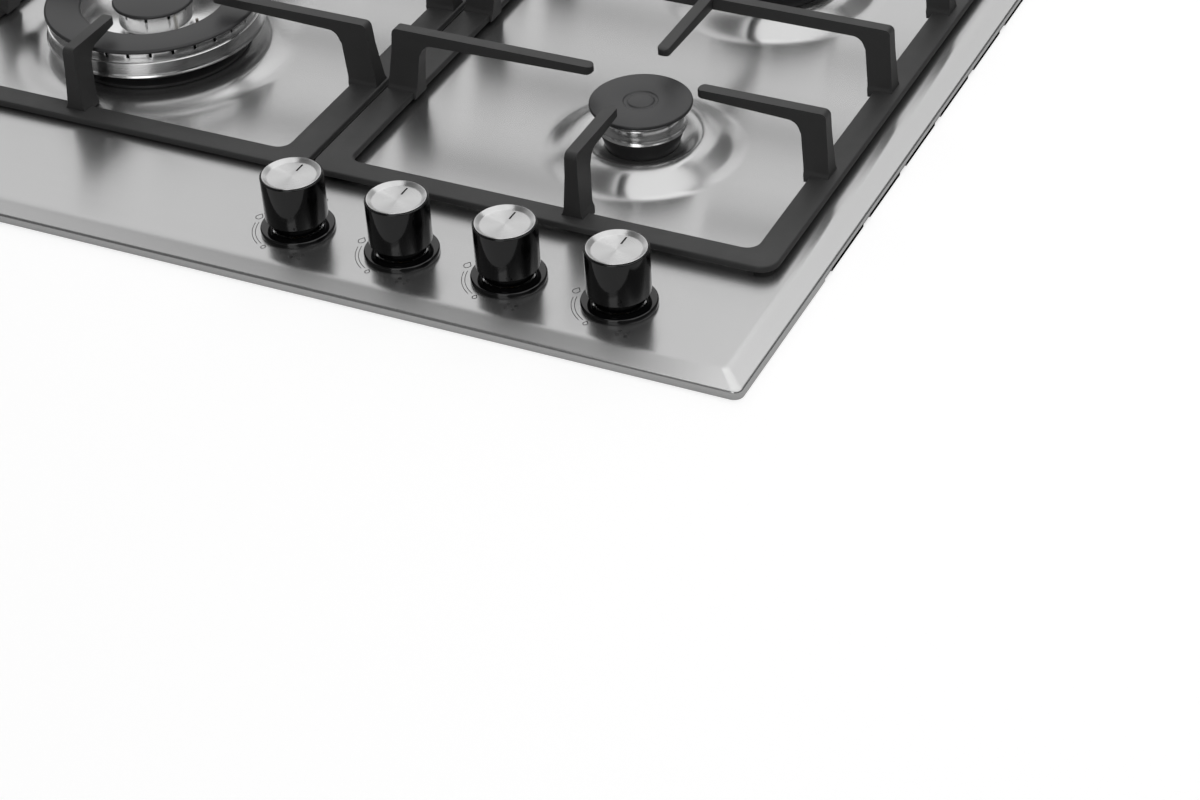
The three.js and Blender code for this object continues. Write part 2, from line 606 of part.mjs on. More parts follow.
function wokCrown() {
  const level = (height) => SHEET_Z + height;
  const seat = CROWN_SEAT_HEIGHT;
  const floor = seat + CROWN_FLOOR + 1;
  const outer = WOK.capRadius + 0.8;
  const port = outer - 2.4;
  const channel = [WOK_RING_INNER_RADIUS + CROWN_WALL, port - CROWN_WALL - 1];
  const tower = WOK_TOWER_RADIUS - CROWN_WALL;
  const bore = THROAT_RADIUS + 3;
  const top = WOK_CROWN_TOP;
  const profile = [
    [bore, level(seat - SPIGOT_DEPTH)], [WOK_NECK_RADIUS, level(seat - SPIGOT_DEPTH)],
    [WOK_NECK_RADIUS, level(seat)], [outer, level(seat)], [outer - 1, level(seat + 9)],
    [port, level(top - 2.6)], [port, level(top)], [channel[1], level(top)], [channel[1], level(floor)],
    [channel[0], level(floor)], [channel[0], level(top)], [WOK_RING_INNER_RADIUS, level(top)],
    [WOK_RING_INNER_RADIUS, level(floor)], [WOK_TOWER_RADIUS, level(floor)], [WOK_TOWER_RADIUS, level(top)],
    [tower, level(top)], [tower, level(floor)], [bore, level(floor)],
  ];
  const body = turned(profile, WOK.ports, WOK.x, WOK.y);
  const low = level(top - 2.4);
  const high = level(top + 1);
  const [x, y] = sparkPlace(WOK);
  const sparkHole = bar([x, y, level(0)], [x, y, high], CERAMIC_RADIUS + RUNNING_GAP, 10);
  const outerSlots = ringOfSlots(WOK.ports, channel[1] - 1, port + 2, low, high, WOK.x, WOK.y);
  const towerSlots = ringOfSlots(WOK_TOWER_PORTS, tower - 1, WOK_TOWER_RADIUS + 1, low, high, WOK.x, WOK.y);
  return cut(body, [union(outerSlots), union(towerSlots), sparkHole]);
}

function wokRingCap() {
  const low = SHEET_Z + WOK_CROWN_TOP;
  const top = low + WOK_CAP_THICKNESS;
  const rim = WOK.capRadius;
  const eye = WOK_RING_INNER_RADIUS - 1.5;
  const channel = [WOK_RING_INNER_RADIUS + CROWN_WALL + RUNNING_GAP, rim - 2.6 - CROWN_WALL - RUNNING_GAP];
  const profile = [
    [eye, low], [channel[0], low], [channel[0], low - 2], [channel[0] + 2, low - 2], [channel[0] + 2, low],
    [rim - 2, low], [rim, low + 1], [rim, top - 1], [rim - 1.2, top], [eye + 1, top], [eye, top - 1],
  ];
  return turned(profile, WOK.ports, WOK.x, WOK.y);
}

function wokCentreCap() {
  const low = SHEET_Z + WOK_CROWN_TOP;
  const top = low + WOK_CAP_THICKNESS;
  const rim = WOK_TOWER_RADIUS + 2.5;
  const collar = WOK_TOWER_RADIUS - CROWN_WALL - RUNNING_GAP;
  const profile = [
    [0, low], [collar - 2, low], [collar - 2, low - 2], [collar, low - 2], [collar, low], [rim - 2, low],
    [rim, low + 1], [rim, top - 0.8], [rim - 0.8, top], [0, top],
  ];
  return turned(profile, 20, WOK.x, WOK.y);
}

add(`burner_cup_${WOK.name}`, wokCup(), BLACK_ENAMEL);
add(`flame_crown_${WOK.name}`, wokCrown(), ALUMINIUM);
add(`burner_cap_${WOK.name}_ring`, wokRingCap(), BLACK_ENAMEL);
add(`burner_cap_${WOK.name}_centre`, wokCentreCap(), BLACK_ENAMEL);
add(`spark_electrode_${WOK.name}`, electrode(WOK, -20), CERAMIC);

// ---- Pan supports ----------------------------------------------------------------------
// Each member is a loft of upright sections. A section joins an outer point to an inner point
// of the side view, [distance from the bar's outer edge, height above the frame's underside],
// and has one half width.
const FINGER_TOP = FRAME_THICKNESS + FINGER_RISE;

// start is how far above the frame's underside the post begins.
function postSections(post, start) {
  const along = (from, to, height) => from + (to - from) * height / (FINGER_TOP - FINGER_ROOT_DEPTH);
  const halfWidth = (height) => along(POST_FOOT_WIDTH, FINGER_WIDTH, height) / 2;
  const level = (height, flare) => ({
    outer: [along(post.outerFoot, post.outerTop, height), height],
    inner: [along(post.innerFoot, post.innerTop, height), height],
    half: halfWidth(height) + flare,
  });
  const flared = [level(start, POST_FLARE), level(FRAME_THICKNESS, POST_FLARE)];
  const sections = [...flared, level(FRAME_THICKNESS + 3, 0)];
  const springing = FINGER_TOP - FINGER_ROOT_DEPTH - POST_FILLET_RADIUS;
  sections.push(level(springing, 0));
  [30, 60, 90].forEach((degrees) => {
    const inner = THREE.MathUtils.degToRad(degrees);
    const outer = THREE.MathUtils.degToRad((degrees - 30) * 1.5);
    const height = springing + POST_FILLET_RADIUS * Math.sin(inner);
    sections.push({
      outer: [
        post.outerTop + FINGER_CORNER_RADIUS * (1 - Math.cos(outer)),
        FINGER_TOP - FINGER_CORNER_RADIUS * (1 - Math.sin(outer)),
      ],
      inner: [post.innerTop + POST_FILLET_RADIUS * (1 - Math.cos(inner)), height],
      half: halfWidth(height),
    });
  });
  return sections;
}

function tipSections(reach) {
  const nose = FINGER_WIDTH / 2;
  return [[1, 1, 0], [0.35, 0.8, 0.3], [0, 0.4, 1]].map(([back, width, drop]) => ({
    outer: [reach - nose * back, FINGER_TOP - drop],
    inner: [reach - nose * back, FINGER_TOP - FINGER_TIP_DEPTH + drop],
    half: nose * width,
  }));
}

// origin lies on the bar's outer edge, way is the unit direction in which the member runs.
function member(sections, origin, way, frameLow) {
  const place = ([out, height], side) => new THREE.Vector3(
    origin[0] + way[0] * out - way[1] * side,
    origin[1] + way[1] * out + way[0] * side,
    frameLow + height,
  );
  return loft(sections.map(({ outer, inner, half }) => [
    place(outer, -half), place(inner, -half), place(inner, half), place(outer, half),
  ]));
}

// A raised bar with a post at both ends.
function bridgeSections(startPost, endPost, span, start) {
  const mirrored = ([out, height]) => [span - out, height];
  const end = postSections(endPost, start).reverse();
  return [
    ...postSections(startPost, start),
    ...end.map(({ outer, inner, half }) => ({ outer: mirrored(outer), inner: mirrored(inner), half })),
  ];
}

function panSupport(side, frontBurner, rearBurner, footHeight) {
  const low = SHEET_Z + footHeight;
  const width = SUPPORT_OUTER_X - SEAM_X;
  const frame = {
    x: side * (SUPPORT_OUTER_X + SEAM_X) / 2, y: SUPPORT_MIDDLE_Y,
    width, depth: SUPPORT_BACK_Y - SUPPORT_FRONT_Y, radius: SUPPORT_CORNER_RADIUS,
  };
  const opening = {
    x: frame.x + side * (SEAM_BAR_WIDTH - SIDE_BAR_WIDTH) / 2, y: SUPPORT_MIDDLE_Y,
    width: width - SEAM_BAR_WIDTH - SIDE_BAR_WIDTH, depth: frame.depth - 2 * FRONT_BAR_WIDTH,
    radius: SUPPORT_INNER_RADIUS,
  };
  const top = low + FRAME_THICKNESS;
  const outer = loft([
    rectRing(frame, 0, low), rectRing(frame, 0, top - FRAME_BEVEL), rectRing(frame, FRAME_BEVEL, top),
  ]);
  const inner = loft([
    rectRing(opening, 0, low - 1), rectRing(opening, 0, top - FRAME_BEVEL),
    rectRing(opening, -FRAME_BEVEL, top), rectRing(opening, -FRAME_BEVEL, top + 1),
  ]);
  const seamX = side * SEAM_X;
  const outerX = side * SUPPORT_OUTER_X;
  const inward = [-side, 0];
  const postStart = Math.max(RIGHT_FOOT_HEIGHT - footHeight, 0);
  const members = [];
  for (const [burner, barY, way] of [[frontBurner, SUPPORT_FRONT_Y, 1], [rearBurner, SUPPORT_BACK_Y, -1]]) {
    const [barTip, seamTip, sideTip, crossTip] = burner.fingerTips;
    const barReach = Math.abs(burner.y - barY) - barTip;
    const crossReach = Math.abs(burner.y - SUPPORT_MIDDLE_Y) - crossTip;
    const seamReach = Math.abs(burner.x) - SEAM_X - seamTip;
    const sideReach = SUPPORT_OUTER_X - Math.abs(burner.x) - sideTip;
    const fromPost = (post, reach) => [...postSections(post, postStart), ...tipSections(reach)];
    const fromCrossbar = [
      { outer: [0, FINGER_TOP], inner: [0, FINGER_TOP - FINGER_ROOT_DEPTH], half: FINGER_WIDTH / 2 },
      ...tipSections(crossReach),
    ];
    members.push(member(fromPost(END_POST, barReach), [burner.x, barY], [0, way], low));
    members.push(member(fromPost(SEAM_POST, seamReach), [seamX, burner.y], [side, 0], low));
    members.push(member(fromPost(SIDE_POST, sideReach), [outerX, burner.y], inward, low));
    members.push(member(fromCrossbar, [burner.x, SUPPORT_MIDDLE_Y], [0, -way], low));
  }
  const bridge = bridgeSections(SEAM_POST, SIDE_POST, width, postStart);
  members.push(member(bridge, [seamX, SUPPORT_MIDDLE_Y], [side, 0], low));
  return union([cut(outer, [inner]), ...members]);
}

function footPlaces(side) {
  const sideX = side * (SUPPORT_OUTER_X - SIDE_BAR_WIDTH / 2);
  const seamX = side * (SEAM_X + SEAM_BAR_WIDTH / 2);
  const frontY = SUPPORT_FRONT_Y + FRONT_BAR_WIDTH / 2;
  const rearY = SUPPORT_BACK_Y - FRONT_BAR_WIDTH / 2;
  return [[seamX, frontY], [sideX, frontY], [seamX, rearY], [sideX, rearY]];
}

function foot([x, y], height) {
  const top = SHEET_Z + height;
  return turned([[0, SHEET_Z], [FOOT_RADIUS - 0.5, SHEET_Z], [FOOT_RADIUS, top], [0, top]], 10, x, y);
}

const [AUXILIARY, REAR_RIGHT, REAR_LEFT] = BURNERS;
const SUPPORTS = [
  { name: 'left', side: -1, front: WOK, rear: REAR_LEFT, footHeight: LEFT_FOOT_HEIGHT },
  { name: 'right', side: 1, front: AUXILIARY, rear: REAR_RIGHT, footHeight: RIGHT_FOOT_HEIGHT },
];
const FOOT_NAMES = ['front_inner', 'front_outer', 'rear_inner', 'rear_outer'];
for (const { name, side, front, rear, footHeight } of SUPPORTS) {
  add(`pan_support_${name}`, panSupport(side, front, rear, footHeight), CAST_IRON);
  footPlaces(side).forEach((place, i) => {
    add(`support_foot_${name}_${FOOT_NAMES[i]}`, foot(place, footHeight), RUBBER);
  });
}

// ---- Knobs -----------------------------------------------------------------------------
const KNOB_LOW_HEIGHT = COLLAR_HEIGHT + 0.5;
const KNOB_SIDES = 24;
const SPINDLE_FLAT = SPINDLE_RADIUS - SPINDLE_FLAT_DEPTH;

// A round bar with one flat, as on the end of a tap spindle.
function dBar(x, y, low, high, radius, flat) {
  const round = bar([x, y, low], [x, y, high], radius, 12);
  return round.subtract(box([x - radius, y + flat, low - 1], [x + radius, y + radius + 1, high + 1]));
}

function knobBody(x) {
  const level = (height) => SHEET_Z + height;
  const inner = KNOB_NECK_RADIUS - KNOB_WALL;
  const boss = SPINDLE_RADIUS + RUNNING_GAP + KNOB_WALL + 1;
  const floor = KNOB_TOP - DISC_THICKNESS;
  const recess = DISC_RADIUS + RUNNING_GAP;
  const low = KNOB_LOW_HEIGHT;
  const shoulder = KNOB_SHOULDER_HEIGHT;
  const bossLow = low + 3;
  const profile = [
    [0, level(bossLow)], [boss, level(bossLow)], [boss, level(floor - KNOB_WALL)],
    [inner - 1, level(floor - KNOB_WALL)], [inner, level(low)], [KNOB_NECK_RADIUS, level(low)],
    [KNOB_NECK_RADIUS, level(shoulder)], [KNOB_RADIUS - 0.5, level(shoulder)],
    [KNOB_RADIUS, level(shoulder + 0.5)], [KNOB_RADIUS, level(KNOB_TOP - 1)],
    [KNOB_RADIUS - 0.4, level(KNOB_TOP - 0.5)],
    [recess, level(KNOB_TOP - 0.5)], [recess, level(floor)], [0, level(floor)],
  ];
  const body = turned(profile, KNOB_SIDES, x, KNOB_Y);
  const boreTop = level(SPINDLE_TOP + KNOB_PUSH + RUNNING_GAP);
  const boreRadius = SPINDLE_RADIUS + RUNNING_GAP;
  return body.subtract(dBar(x, KNOB_Y, level(bossLow - 1), boreTop, boreRadius, SPINDLE_FLAT + RUNNING_GAP));
}

// A spun disc, dished inside its rim, with the pointer cut in the flat of the dish.
function knobDisc(x) {
  const top = SHEET_Z + KNOB_TOP;
  const low = top - DISC_THICKNESS;
  const rim = DISC_RADIUS - DISC_EDGE;
  const dish = top - DISC_DISH_DEPTH;
  const profile = [
    [0, low], [DISC_RADIUS, low], [DISC_RADIUS, top - DISC_EDGE], [rim, top],
    [DISC_RADIUS - DISC_RIM_WIDTH, dish], [0, dish],
  ];
  const mark = box(
    [x - MARK_WIDTH / 2, KNOB_Y + MARK_START, dish - MARK_DEPTH],
    [x + MARK_WIDTH / 2, KNOB_Y + MARK_END, top],
  );
  return turned(profile, KNOB_SIDES, x, KNOB_Y).subtract(mark);
}

function knobCollar(x) {
  const bore = KNOB_NECK_RADIUS + COLLAR_CLEARANCE;
  const top = SHEET_Z + COLLAR_HEIGHT;
  const profile = [
    [bore, SHEET_Z], [COLLAR_RADIUS, SHEET_Z], [COLLAR_RADIUS, top - 0.6],
    [COLLAR_RADIUS - 0.6, top], [bore, top],
  ];
  return turned(profile, KNOB_SIDES, x, KNOB_Y);
}

function spindle(x) {
  const low = TAP_TOP_Z - SPINDLE_SEAT_DEPTH;
  const top = SHEET_Z + SPINDLE_TOP;
  const profile = [
    [0, low], [SPINDLE_RADIUS, low], [SPINDLE_RADIUS, top - 0.8], [SPINDLE_RADIUS - 0.8, top], [0, top],
  ];
  const flatLow = SHEET_Z + KNOB_LOW_HEIGHT;
  const flat = box(
    [x - SPINDLE_RADIUS, KNOB_Y + SPINDLE_FLAT, flatLow],
    [x + SPINDLE_RADIUS, KNOB_Y + SPINDLE_RADIUS + 1, top + 1],
  );
  return turned(profile, 12, x, KNOB_Y).subtract(flat);
}

// ---- Taps, rail and gas tubes ----------------------------------------------------------
const RAIL_Y = KNOB_Y - RAIL_SETBACK;
const TAP_FRONT_Y = RAIL_Y + RAIL_RADIUS + RUNNING_GAP;
const TAP_BACK_Y = TAP_FRONT_Y + TAP_LENGTH;
const OUTLET_END_Y = TAP_BACK_Y + TAP_OUTLET_LENGTH;

function tap(x) {
  const bodyTop = TAP_LOW_Z + TAP_BODY_HEIGHT;
  const middle = TAP_LOW_Z + TAP_BODY_HEIGHT / 2;
  const corner = roundedRect(TAP_WIDTH, TAP_LENGTH, 3, x, (TAP_FRONT_Y + TAP_BACK_Y) / 2);
  const body = prism(corner, TAP_LOW_Z, bodyTop, 1);
  const neck = bar([x, KNOB_Y, bodyTop - 1], [x, KNOB_Y, TAP_TOP_Z], TAP_NECK_RADIUS, 12);
  const outlet = bar([x, TAP_BACK_Y - 1, middle], [x, OUTLET_END_Y, middle], TAP_OUTLET_RADIUS, 8);
  const nut = bar([x, TAP_BACK_Y + 2, middle], [x, OUTLET_END_Y - 3, middle], TAP_OUTLET_RADIUS + 2, 6);
  const seat = TAP_TOP_Z - SPINDLE_SEAT_DEPTH - RUNNING_GAP;
  const bore = bar([x, KNOB_Y, seat], [x, KNOB_Y, TAP_TOP_Z + 1], SPINDLE_RADIUS + RUNNING_GAP, 10);
  return union([body, neck, outlet, nut]).subtract(bore);
}

function tubeAlong(curve, radius, sides, steps) {
  const section = new THREE.Shape();
  for (let i = 0; i < sides; i += 1) {
    const angle = 2 * Math.PI * i / sides;
    const point = [radius * Math.cos(angle), radius * Math.sin(angle)];
    if (i === 0) section.moveTo(...point);
    else section.lineTo(...point);
  }
  return toSolid(new THREE.ExtrudeGeometry(section, { steps, extrudePath: curve, bevelEnabled: false }));
}

function supplyTube(burner, x) {
  const way = bossDirection(burner);
  const bossZ = SHEET_Z - BOSS_DROP;
  const tapZ = TAP_LOW_Z + TAP_BODY_HEIGHT / 2;
  const fromCup = (run) => new THREE.Vector3(burner.x + way.x * run, burner.y + way.y * run, bossZ);
  const curve = new THREE.CatmullRomCurve3([
    new THREE.Vector3(x, OUTLET_END_Y + RUNNING_GAP, tapZ),
    new THREE.Vector3(x, OUTLET_END_Y + 16, tapZ),
    new THREE.Vector3(...burner.bend, (tapZ + bossZ) / 2),
    fromCup(burner.bossReach + 16),
    fromCup(burner.bossReach + RUNNING_GAP),
  ], false, 'centripetal');
  return tubeAlong(curve, TUBE_RADIUS, 8, 10);
}

// The rail runs under the taps and turns back to the inlet through an elbow.
function gasRail() {
  const at = (x, y) => [x, y, PIPE_HEIGHT];
  const manifold = bar(at(knobX(0) - TAP_WIDTH, RAIL_Y), at(INLET_X, RAIL_Y), RAIL_RADIUS, 12);
  const feed = bar(at(INLET_X, RAIL_Y), at(INLET_X, INLET_INNER_Y - RUNNING_GAP), RAIL_RADIUS, 12);
  const half = RAIL_RADIUS + 1;
  const corner = roundedRect(2 * half, 2 * half, 4, INLET_X, RAIL_Y);
  const elbow = prism(corner, PIPE_HEIGHT - half, PIPE_HEIGHT + half);
  const legs = [0.5, KNOB_COUNT - 1.5].map((index) => {
    const x = knobX(0) + index * KNOB_PITCH;
    const post = box([x - 4, RAIL_Y - 3, TRAY_WALL], [x + 4, RAIL_Y + 3, PIPE_HEIGHT]);
    const pad = box([x - 9, RAIL_Y - 6, TRAY_WALL], [x + 9, RAIL_Y + 6, TRAY_WALL + 2]);
    return post.add(pad);
  });
  return union([manifold, feed, elbow, ...legs]);
}

function inletFitting() {
  const at = (y) => [INLET_X, y, PIPE_HEIGHT];
  const outerEnd = TRAY_BACK_Y + INLET_PROUD;
  const wallInside = TRAY_BACK_Y - TRAY_WALL - RUNNING_GAP;
  const stem = bar(at(INLET_INNER_Y), at(outerEnd), INLET_RADIUS, 16);
  const hexagon = bar(at(INLET_INNER_Y + 2), at(wallInside), INLET_RADIUS + 3.4, 6);
  const bore = bar(at(outerEnd - INLET_PROUD - 8), at(outerEnd + 1), INLET_BORE_RADIUS, 12);
  return stem.add(hexagon).subtract(bore);
}

function cableGland() {
  const at = (y) => [GLAND.x, y, GLAND.z];
  const outside = TRAY_BACK_Y + RUNNING_GAP;
  const inside = TRAY_BACK_Y - TRAY_WALL - RUNNING_GAP;
  const stem = bar(at(inside - 6), at(outside + 3), GLAND_RADIUS, 16);
  const flange = bar(at(outside), at(outside + 3), GLAND_RADIUS + 2.5, 16);
  const nut = bar(at(inside - 4), at(inside), GLAND_RADIUS + 3, 6);
  const bore = bar(at(inside - 7), at(outside + 4), GLAND_RADIUS / 2, 12);
  return union([stem, flange, nut]).subtract(bore);
}

function ignitionModule() {
  const { x, marginBack, width, depth, height } = MODULE;
  const y = HALF_DEPTH - marginBack;
  const top = TRAY_WALL + height;
  const body = prism(roundedRect(width, depth, 4, x, y), TRAY_WALL, top, 1);
  const ears = prism(roundedRect(width + 24, depth / 2, 4, x, y), TRAY_WALL, TRAY_WALL + 3, 1);
  const posts = [];
  for (let i = 0; i < KNOB_COUNT; i += 1) {
    const postX = x + (i - (KNOB_COUNT - 1) / 2) * width / (KNOB_COUNT + 1);
    posts.push(bar([postX, y, top - 1], [postX, y, top + 7], 3, 8));
  }
  return union([body, ears, ...posts]);
}

const TAPS = [WOK, REAR_LEFT, REAR_RIGHT, AUXILIARY];
TAPS.forEach((burner, index) => {
  const x = knobX(index);
  add(`gas_tap_${burner.name}`, tap(x), ALUMINIUM);
  add(`tap_spindle_${burner.name}`, spindle(x), BRASS);
  add(`knob_collar_${burner.name}`, knobCollar(x), BLACK_PLASTIC);
  add(`knob_body_${burner.name}`, knobBody(x), BLACK_PLASTIC);
  add(`knob_disc_${burner.name}`, knobDisc(x), BRUSHED_STEEL);
  add(`supply_tube_${burner.name}`, supplyTube(burner, x), ALUMINIUM);
});
add('gas_rail', gasRail(), GALVANISED);
add('inlet_fitting', inletFitting(), BRASS);
add('cable_gland', cableGland(), RUBBER);
add('ignition_module', ignitionModule(), BLACK_PLASTIC);

export default cooktop;
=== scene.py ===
import math

import bmesh
import bpy
from mathutils import Matrix, Vector


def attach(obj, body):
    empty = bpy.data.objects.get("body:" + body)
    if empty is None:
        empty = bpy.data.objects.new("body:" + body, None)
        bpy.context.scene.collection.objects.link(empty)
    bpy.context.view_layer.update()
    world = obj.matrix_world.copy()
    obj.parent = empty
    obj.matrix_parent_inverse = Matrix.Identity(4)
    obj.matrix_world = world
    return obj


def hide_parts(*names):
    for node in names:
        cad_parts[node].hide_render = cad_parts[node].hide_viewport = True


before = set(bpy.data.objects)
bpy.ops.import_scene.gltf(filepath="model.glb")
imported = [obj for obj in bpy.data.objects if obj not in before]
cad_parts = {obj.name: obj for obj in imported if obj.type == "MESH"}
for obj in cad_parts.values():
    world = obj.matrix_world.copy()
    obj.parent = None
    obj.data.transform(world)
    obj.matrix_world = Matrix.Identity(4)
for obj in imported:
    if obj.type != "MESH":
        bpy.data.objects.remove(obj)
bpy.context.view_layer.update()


# ---- Top sheet --------------------------------------------------------------------------
# One pressing of 1 mm stainless steel: a flat with a domed well round each burner, a sloping
# rim and a folded lip with small slots in its lower edge. The tray hangs below it and holds
# it by screws from inside.

# Lengths are typed in millimetres. FLAT is the sheet's level above the tray's underside.
MM = 0.001
FLAT = 54.0


def linear(code):
    """sRGB hex colour to Blender's linear colour."""
    channels = [int(code[i:i + 2], 16) / 255 for i in (0, 2, 4)]
    return [c / 12.92 if c <= 0.04045 else ((c + 0.055) / 1.055) ** 2.4 for c in channels] + [1.0]


def finish(name, colour, metallic, roughness, **more):
    """A material with one Principled shader, its constants set on the shader's own sockets."""
    material = bpy.data.materials.new(name)
    material.use_nodes = True
    shader = material.node_tree.nodes["Principled BSDF"]
    shader.inputs["Base Color"].default_value = linear(colour)
    shader.inputs["Metallic"].default_value = metallic
    shader.inputs["Roughness"].default_value = roughness
    for socket, value in more.items():
        shader.inputs[socket.replace("_", " ")].default_value = value
    return material


def add(material, kind, inputs=None, **settings):
    """One node with its settings; an input is a value or another node's output."""
    node = material.node_tree.nodes.new(kind)
    for key, value in settings.items():
        setattr(node, key, value)
    for socket, value in (inputs or {}).items():
        if isinstance(value, bpy.types.NodeSocket):
            material.node_tree.links.new(value, node.inputs[socket])
        else:
            node.inputs[socket].default_value = value
    return node


def wire(material, output, socket):
    """Links an output to a socket of the material's shader."""
    shader = material.node_tree.nodes["Principled BSDF"]
    material.node_tree.links.new(output, shader.inputs[socket])


def settled(bm, name, material, crease=30):
    """The finished mesh as an object at the origin, smooth but for edges sharper than crease."""
    bmesh.ops.remove_doubles(bm, verts=bm.verts[:], dist=1e-6)
    bmesh.ops.recalc_face_normals(bm, faces=bm.faces[:])
    for face in bm.faces:
        face.smooth = True
    for edge in bm.edges:
        edge.smooth = len(edge.link_faces) == 2 and edge.calc_face_angle() < math.radians(crease)
    mesh = bpy.data.meshes.new(name)
    bm.to_mesh(mesh)
    bm.free()
    mesh.materials.append(material)
    piece = bpy.data.objects.new(name, mesh)
    bpy.context.scene.collection.objects.link(piece)
    return piece


def spin_profile(bm, profile, x, y, steps, closed=False):
    """Turns a profile of [radius, z] millimetre points about the upright line through x, y."""
    verts = [bm.verts.new(((x + r) * MM, y * MM, z * MM)) for r, z in profile]
    pairs = list(zip(verts, verts[1:])) + ([(verts[-1], verts[0])] if closed else [])
    edges = [bm.edges.new(pair) for pair in pairs]
    bmesh.ops.spin(bm, geom=verts + edges, cent=(x * MM, y * MM, 0), axis=(0, 0, 1),
                   angle=2 * math.pi, steps=steps, use_merge=True)
    bmesh.ops.remove_doubles(bm, verts=bm.verts[:], dist=1e-6)


def rounded_rect(bm, x0, x1, y0, y1, z, radius, segments):
    """A level face with rounded corners."""
    made = bmesh.ops.create_grid(bm, x_segments=1, y_segments=1, size=0.5)["verts"]
    for vert in made:
        vert.co = ((x0 + (vert.co.x + 0.5) * (x1 - x0)) * MM,
                   (y0 + (vert.co.y + 0.5) * (y1 - y0)) * MM, z * MM)
    made = bmesh.ops.bevel(bm, geom=made, offset=radius * MM, offset_type="OFFSET",
                           affect="VERTICES", segments=segments, profile=0.5, material=-1)
    touched = [f for f in bm.faces if set(made["verts"]) & set(f.verts)]
    return max(touched, key=lambda f: f.calc_area())


def fill_between(bm, edges):
    """Fills the level area between closed outlines with triangles."""
    # the fill sorts points too coarsely for metres, so it works in millimetres
    bmesh.ops.scale(bm, vec=(1 / MM,) * 3, verts=bm.verts[:])
    bmesh.ops.triangle_fill(bm, use_beauty=True, use_dissolve=False, edges=edges, normal=(0, 0, 1))
    bmesh.ops.scale(bm, vec=(MM,) * 3, verts=bm.verts[:])


def cut(bm, faces, point, normal):
    """Divides faces along a plane and leaves both sides."""
    around = list({g for f in faces for g in (*f.verts, *f.edges)}) + faces
    bmesh.ops.bisect_plane(bm, geom=around, plane_co=[c * MM for c in point], plane_no=normal)


LAST_KNOB_X, KNOB_PITCH, KNOB_Y = 206.8, 61.5, -207.0
KNOB_PLACES = [LAST_KNOB_X - KNOB_PITCH * i for i in (3, 2, 1, 0)]
LEFT_X, RIGHT_X, FRONT_Y, REAR_Y = -150.0, 156.0, -69.6, 113.4
# middle of each burner
BURNER_PLACES = {
    "front_right": (RIGHT_X, FRONT_Y),
    "rear_right": (RIGHT_X, REAR_Y),
    "rear_left": (LEFT_X, REAR_Y),
    "front_left": (LEFT_X, FRONT_Y),
}
# name: foot, crest and seat radius, crest and seat height, hole radius
WELLS = {
    "front_right": (56.0, 33.4, 21.3, 8.2, 2.5, 16.8),
    "rear_right": (65.7, 43.1, 31.0, 8.2, 2.5, 26.6),
    "rear_left": (65.7, 43.1, 31.0, 8.2, 2.5, 26.6),
    "front_left": (84.0, 66.0, 56.0, 3.6, 1.5, 40.2),
}


def slope(r0, h0, r1, h1, steps):
    """Points of a soft S-shaped slope from one radius and height to another."""
    return [(r0 + (r1 - r0) * i / steps, h0 + (h1 - h0) * (1 - math.cos(math.pi * i / steps)) / 2)
            for i in range(1, steps + 1)]


# inset, height above the flat and corner radius: up the lip, round its nose, up the rim's slope
# and onto the flat
RIM = ((0, -8, 5), (0, -5.8, 5), (0, -4.4, 5), (0.12, -3.85, 4.9), (0.45, -3.4, 4.7), (0.9, -3.12, 4.4),
       (1.4, -3, 4.2), (9.0, -0.72, 3.6), (10.2, -0.39, 3.5), (11.2, -0.18, 3.4), (12.2, -0.06, 3.3),
       (13.2, 0, 3.2), (14, 0, 3.1))
HALF_WIDTH, HALF_DEPTH = 290, 250
LIP, LIP_CORNER = 8, 5
WELL_BORDER = 1.5
SPINDLE_HOLE = 6
SLOT_COUNT, SLOT_PITCH, SLOT_LENGTH, SLOT_TOP, SLOT_MIDDLE_Y = 7, 53, 9.5, -5.8, 21.9


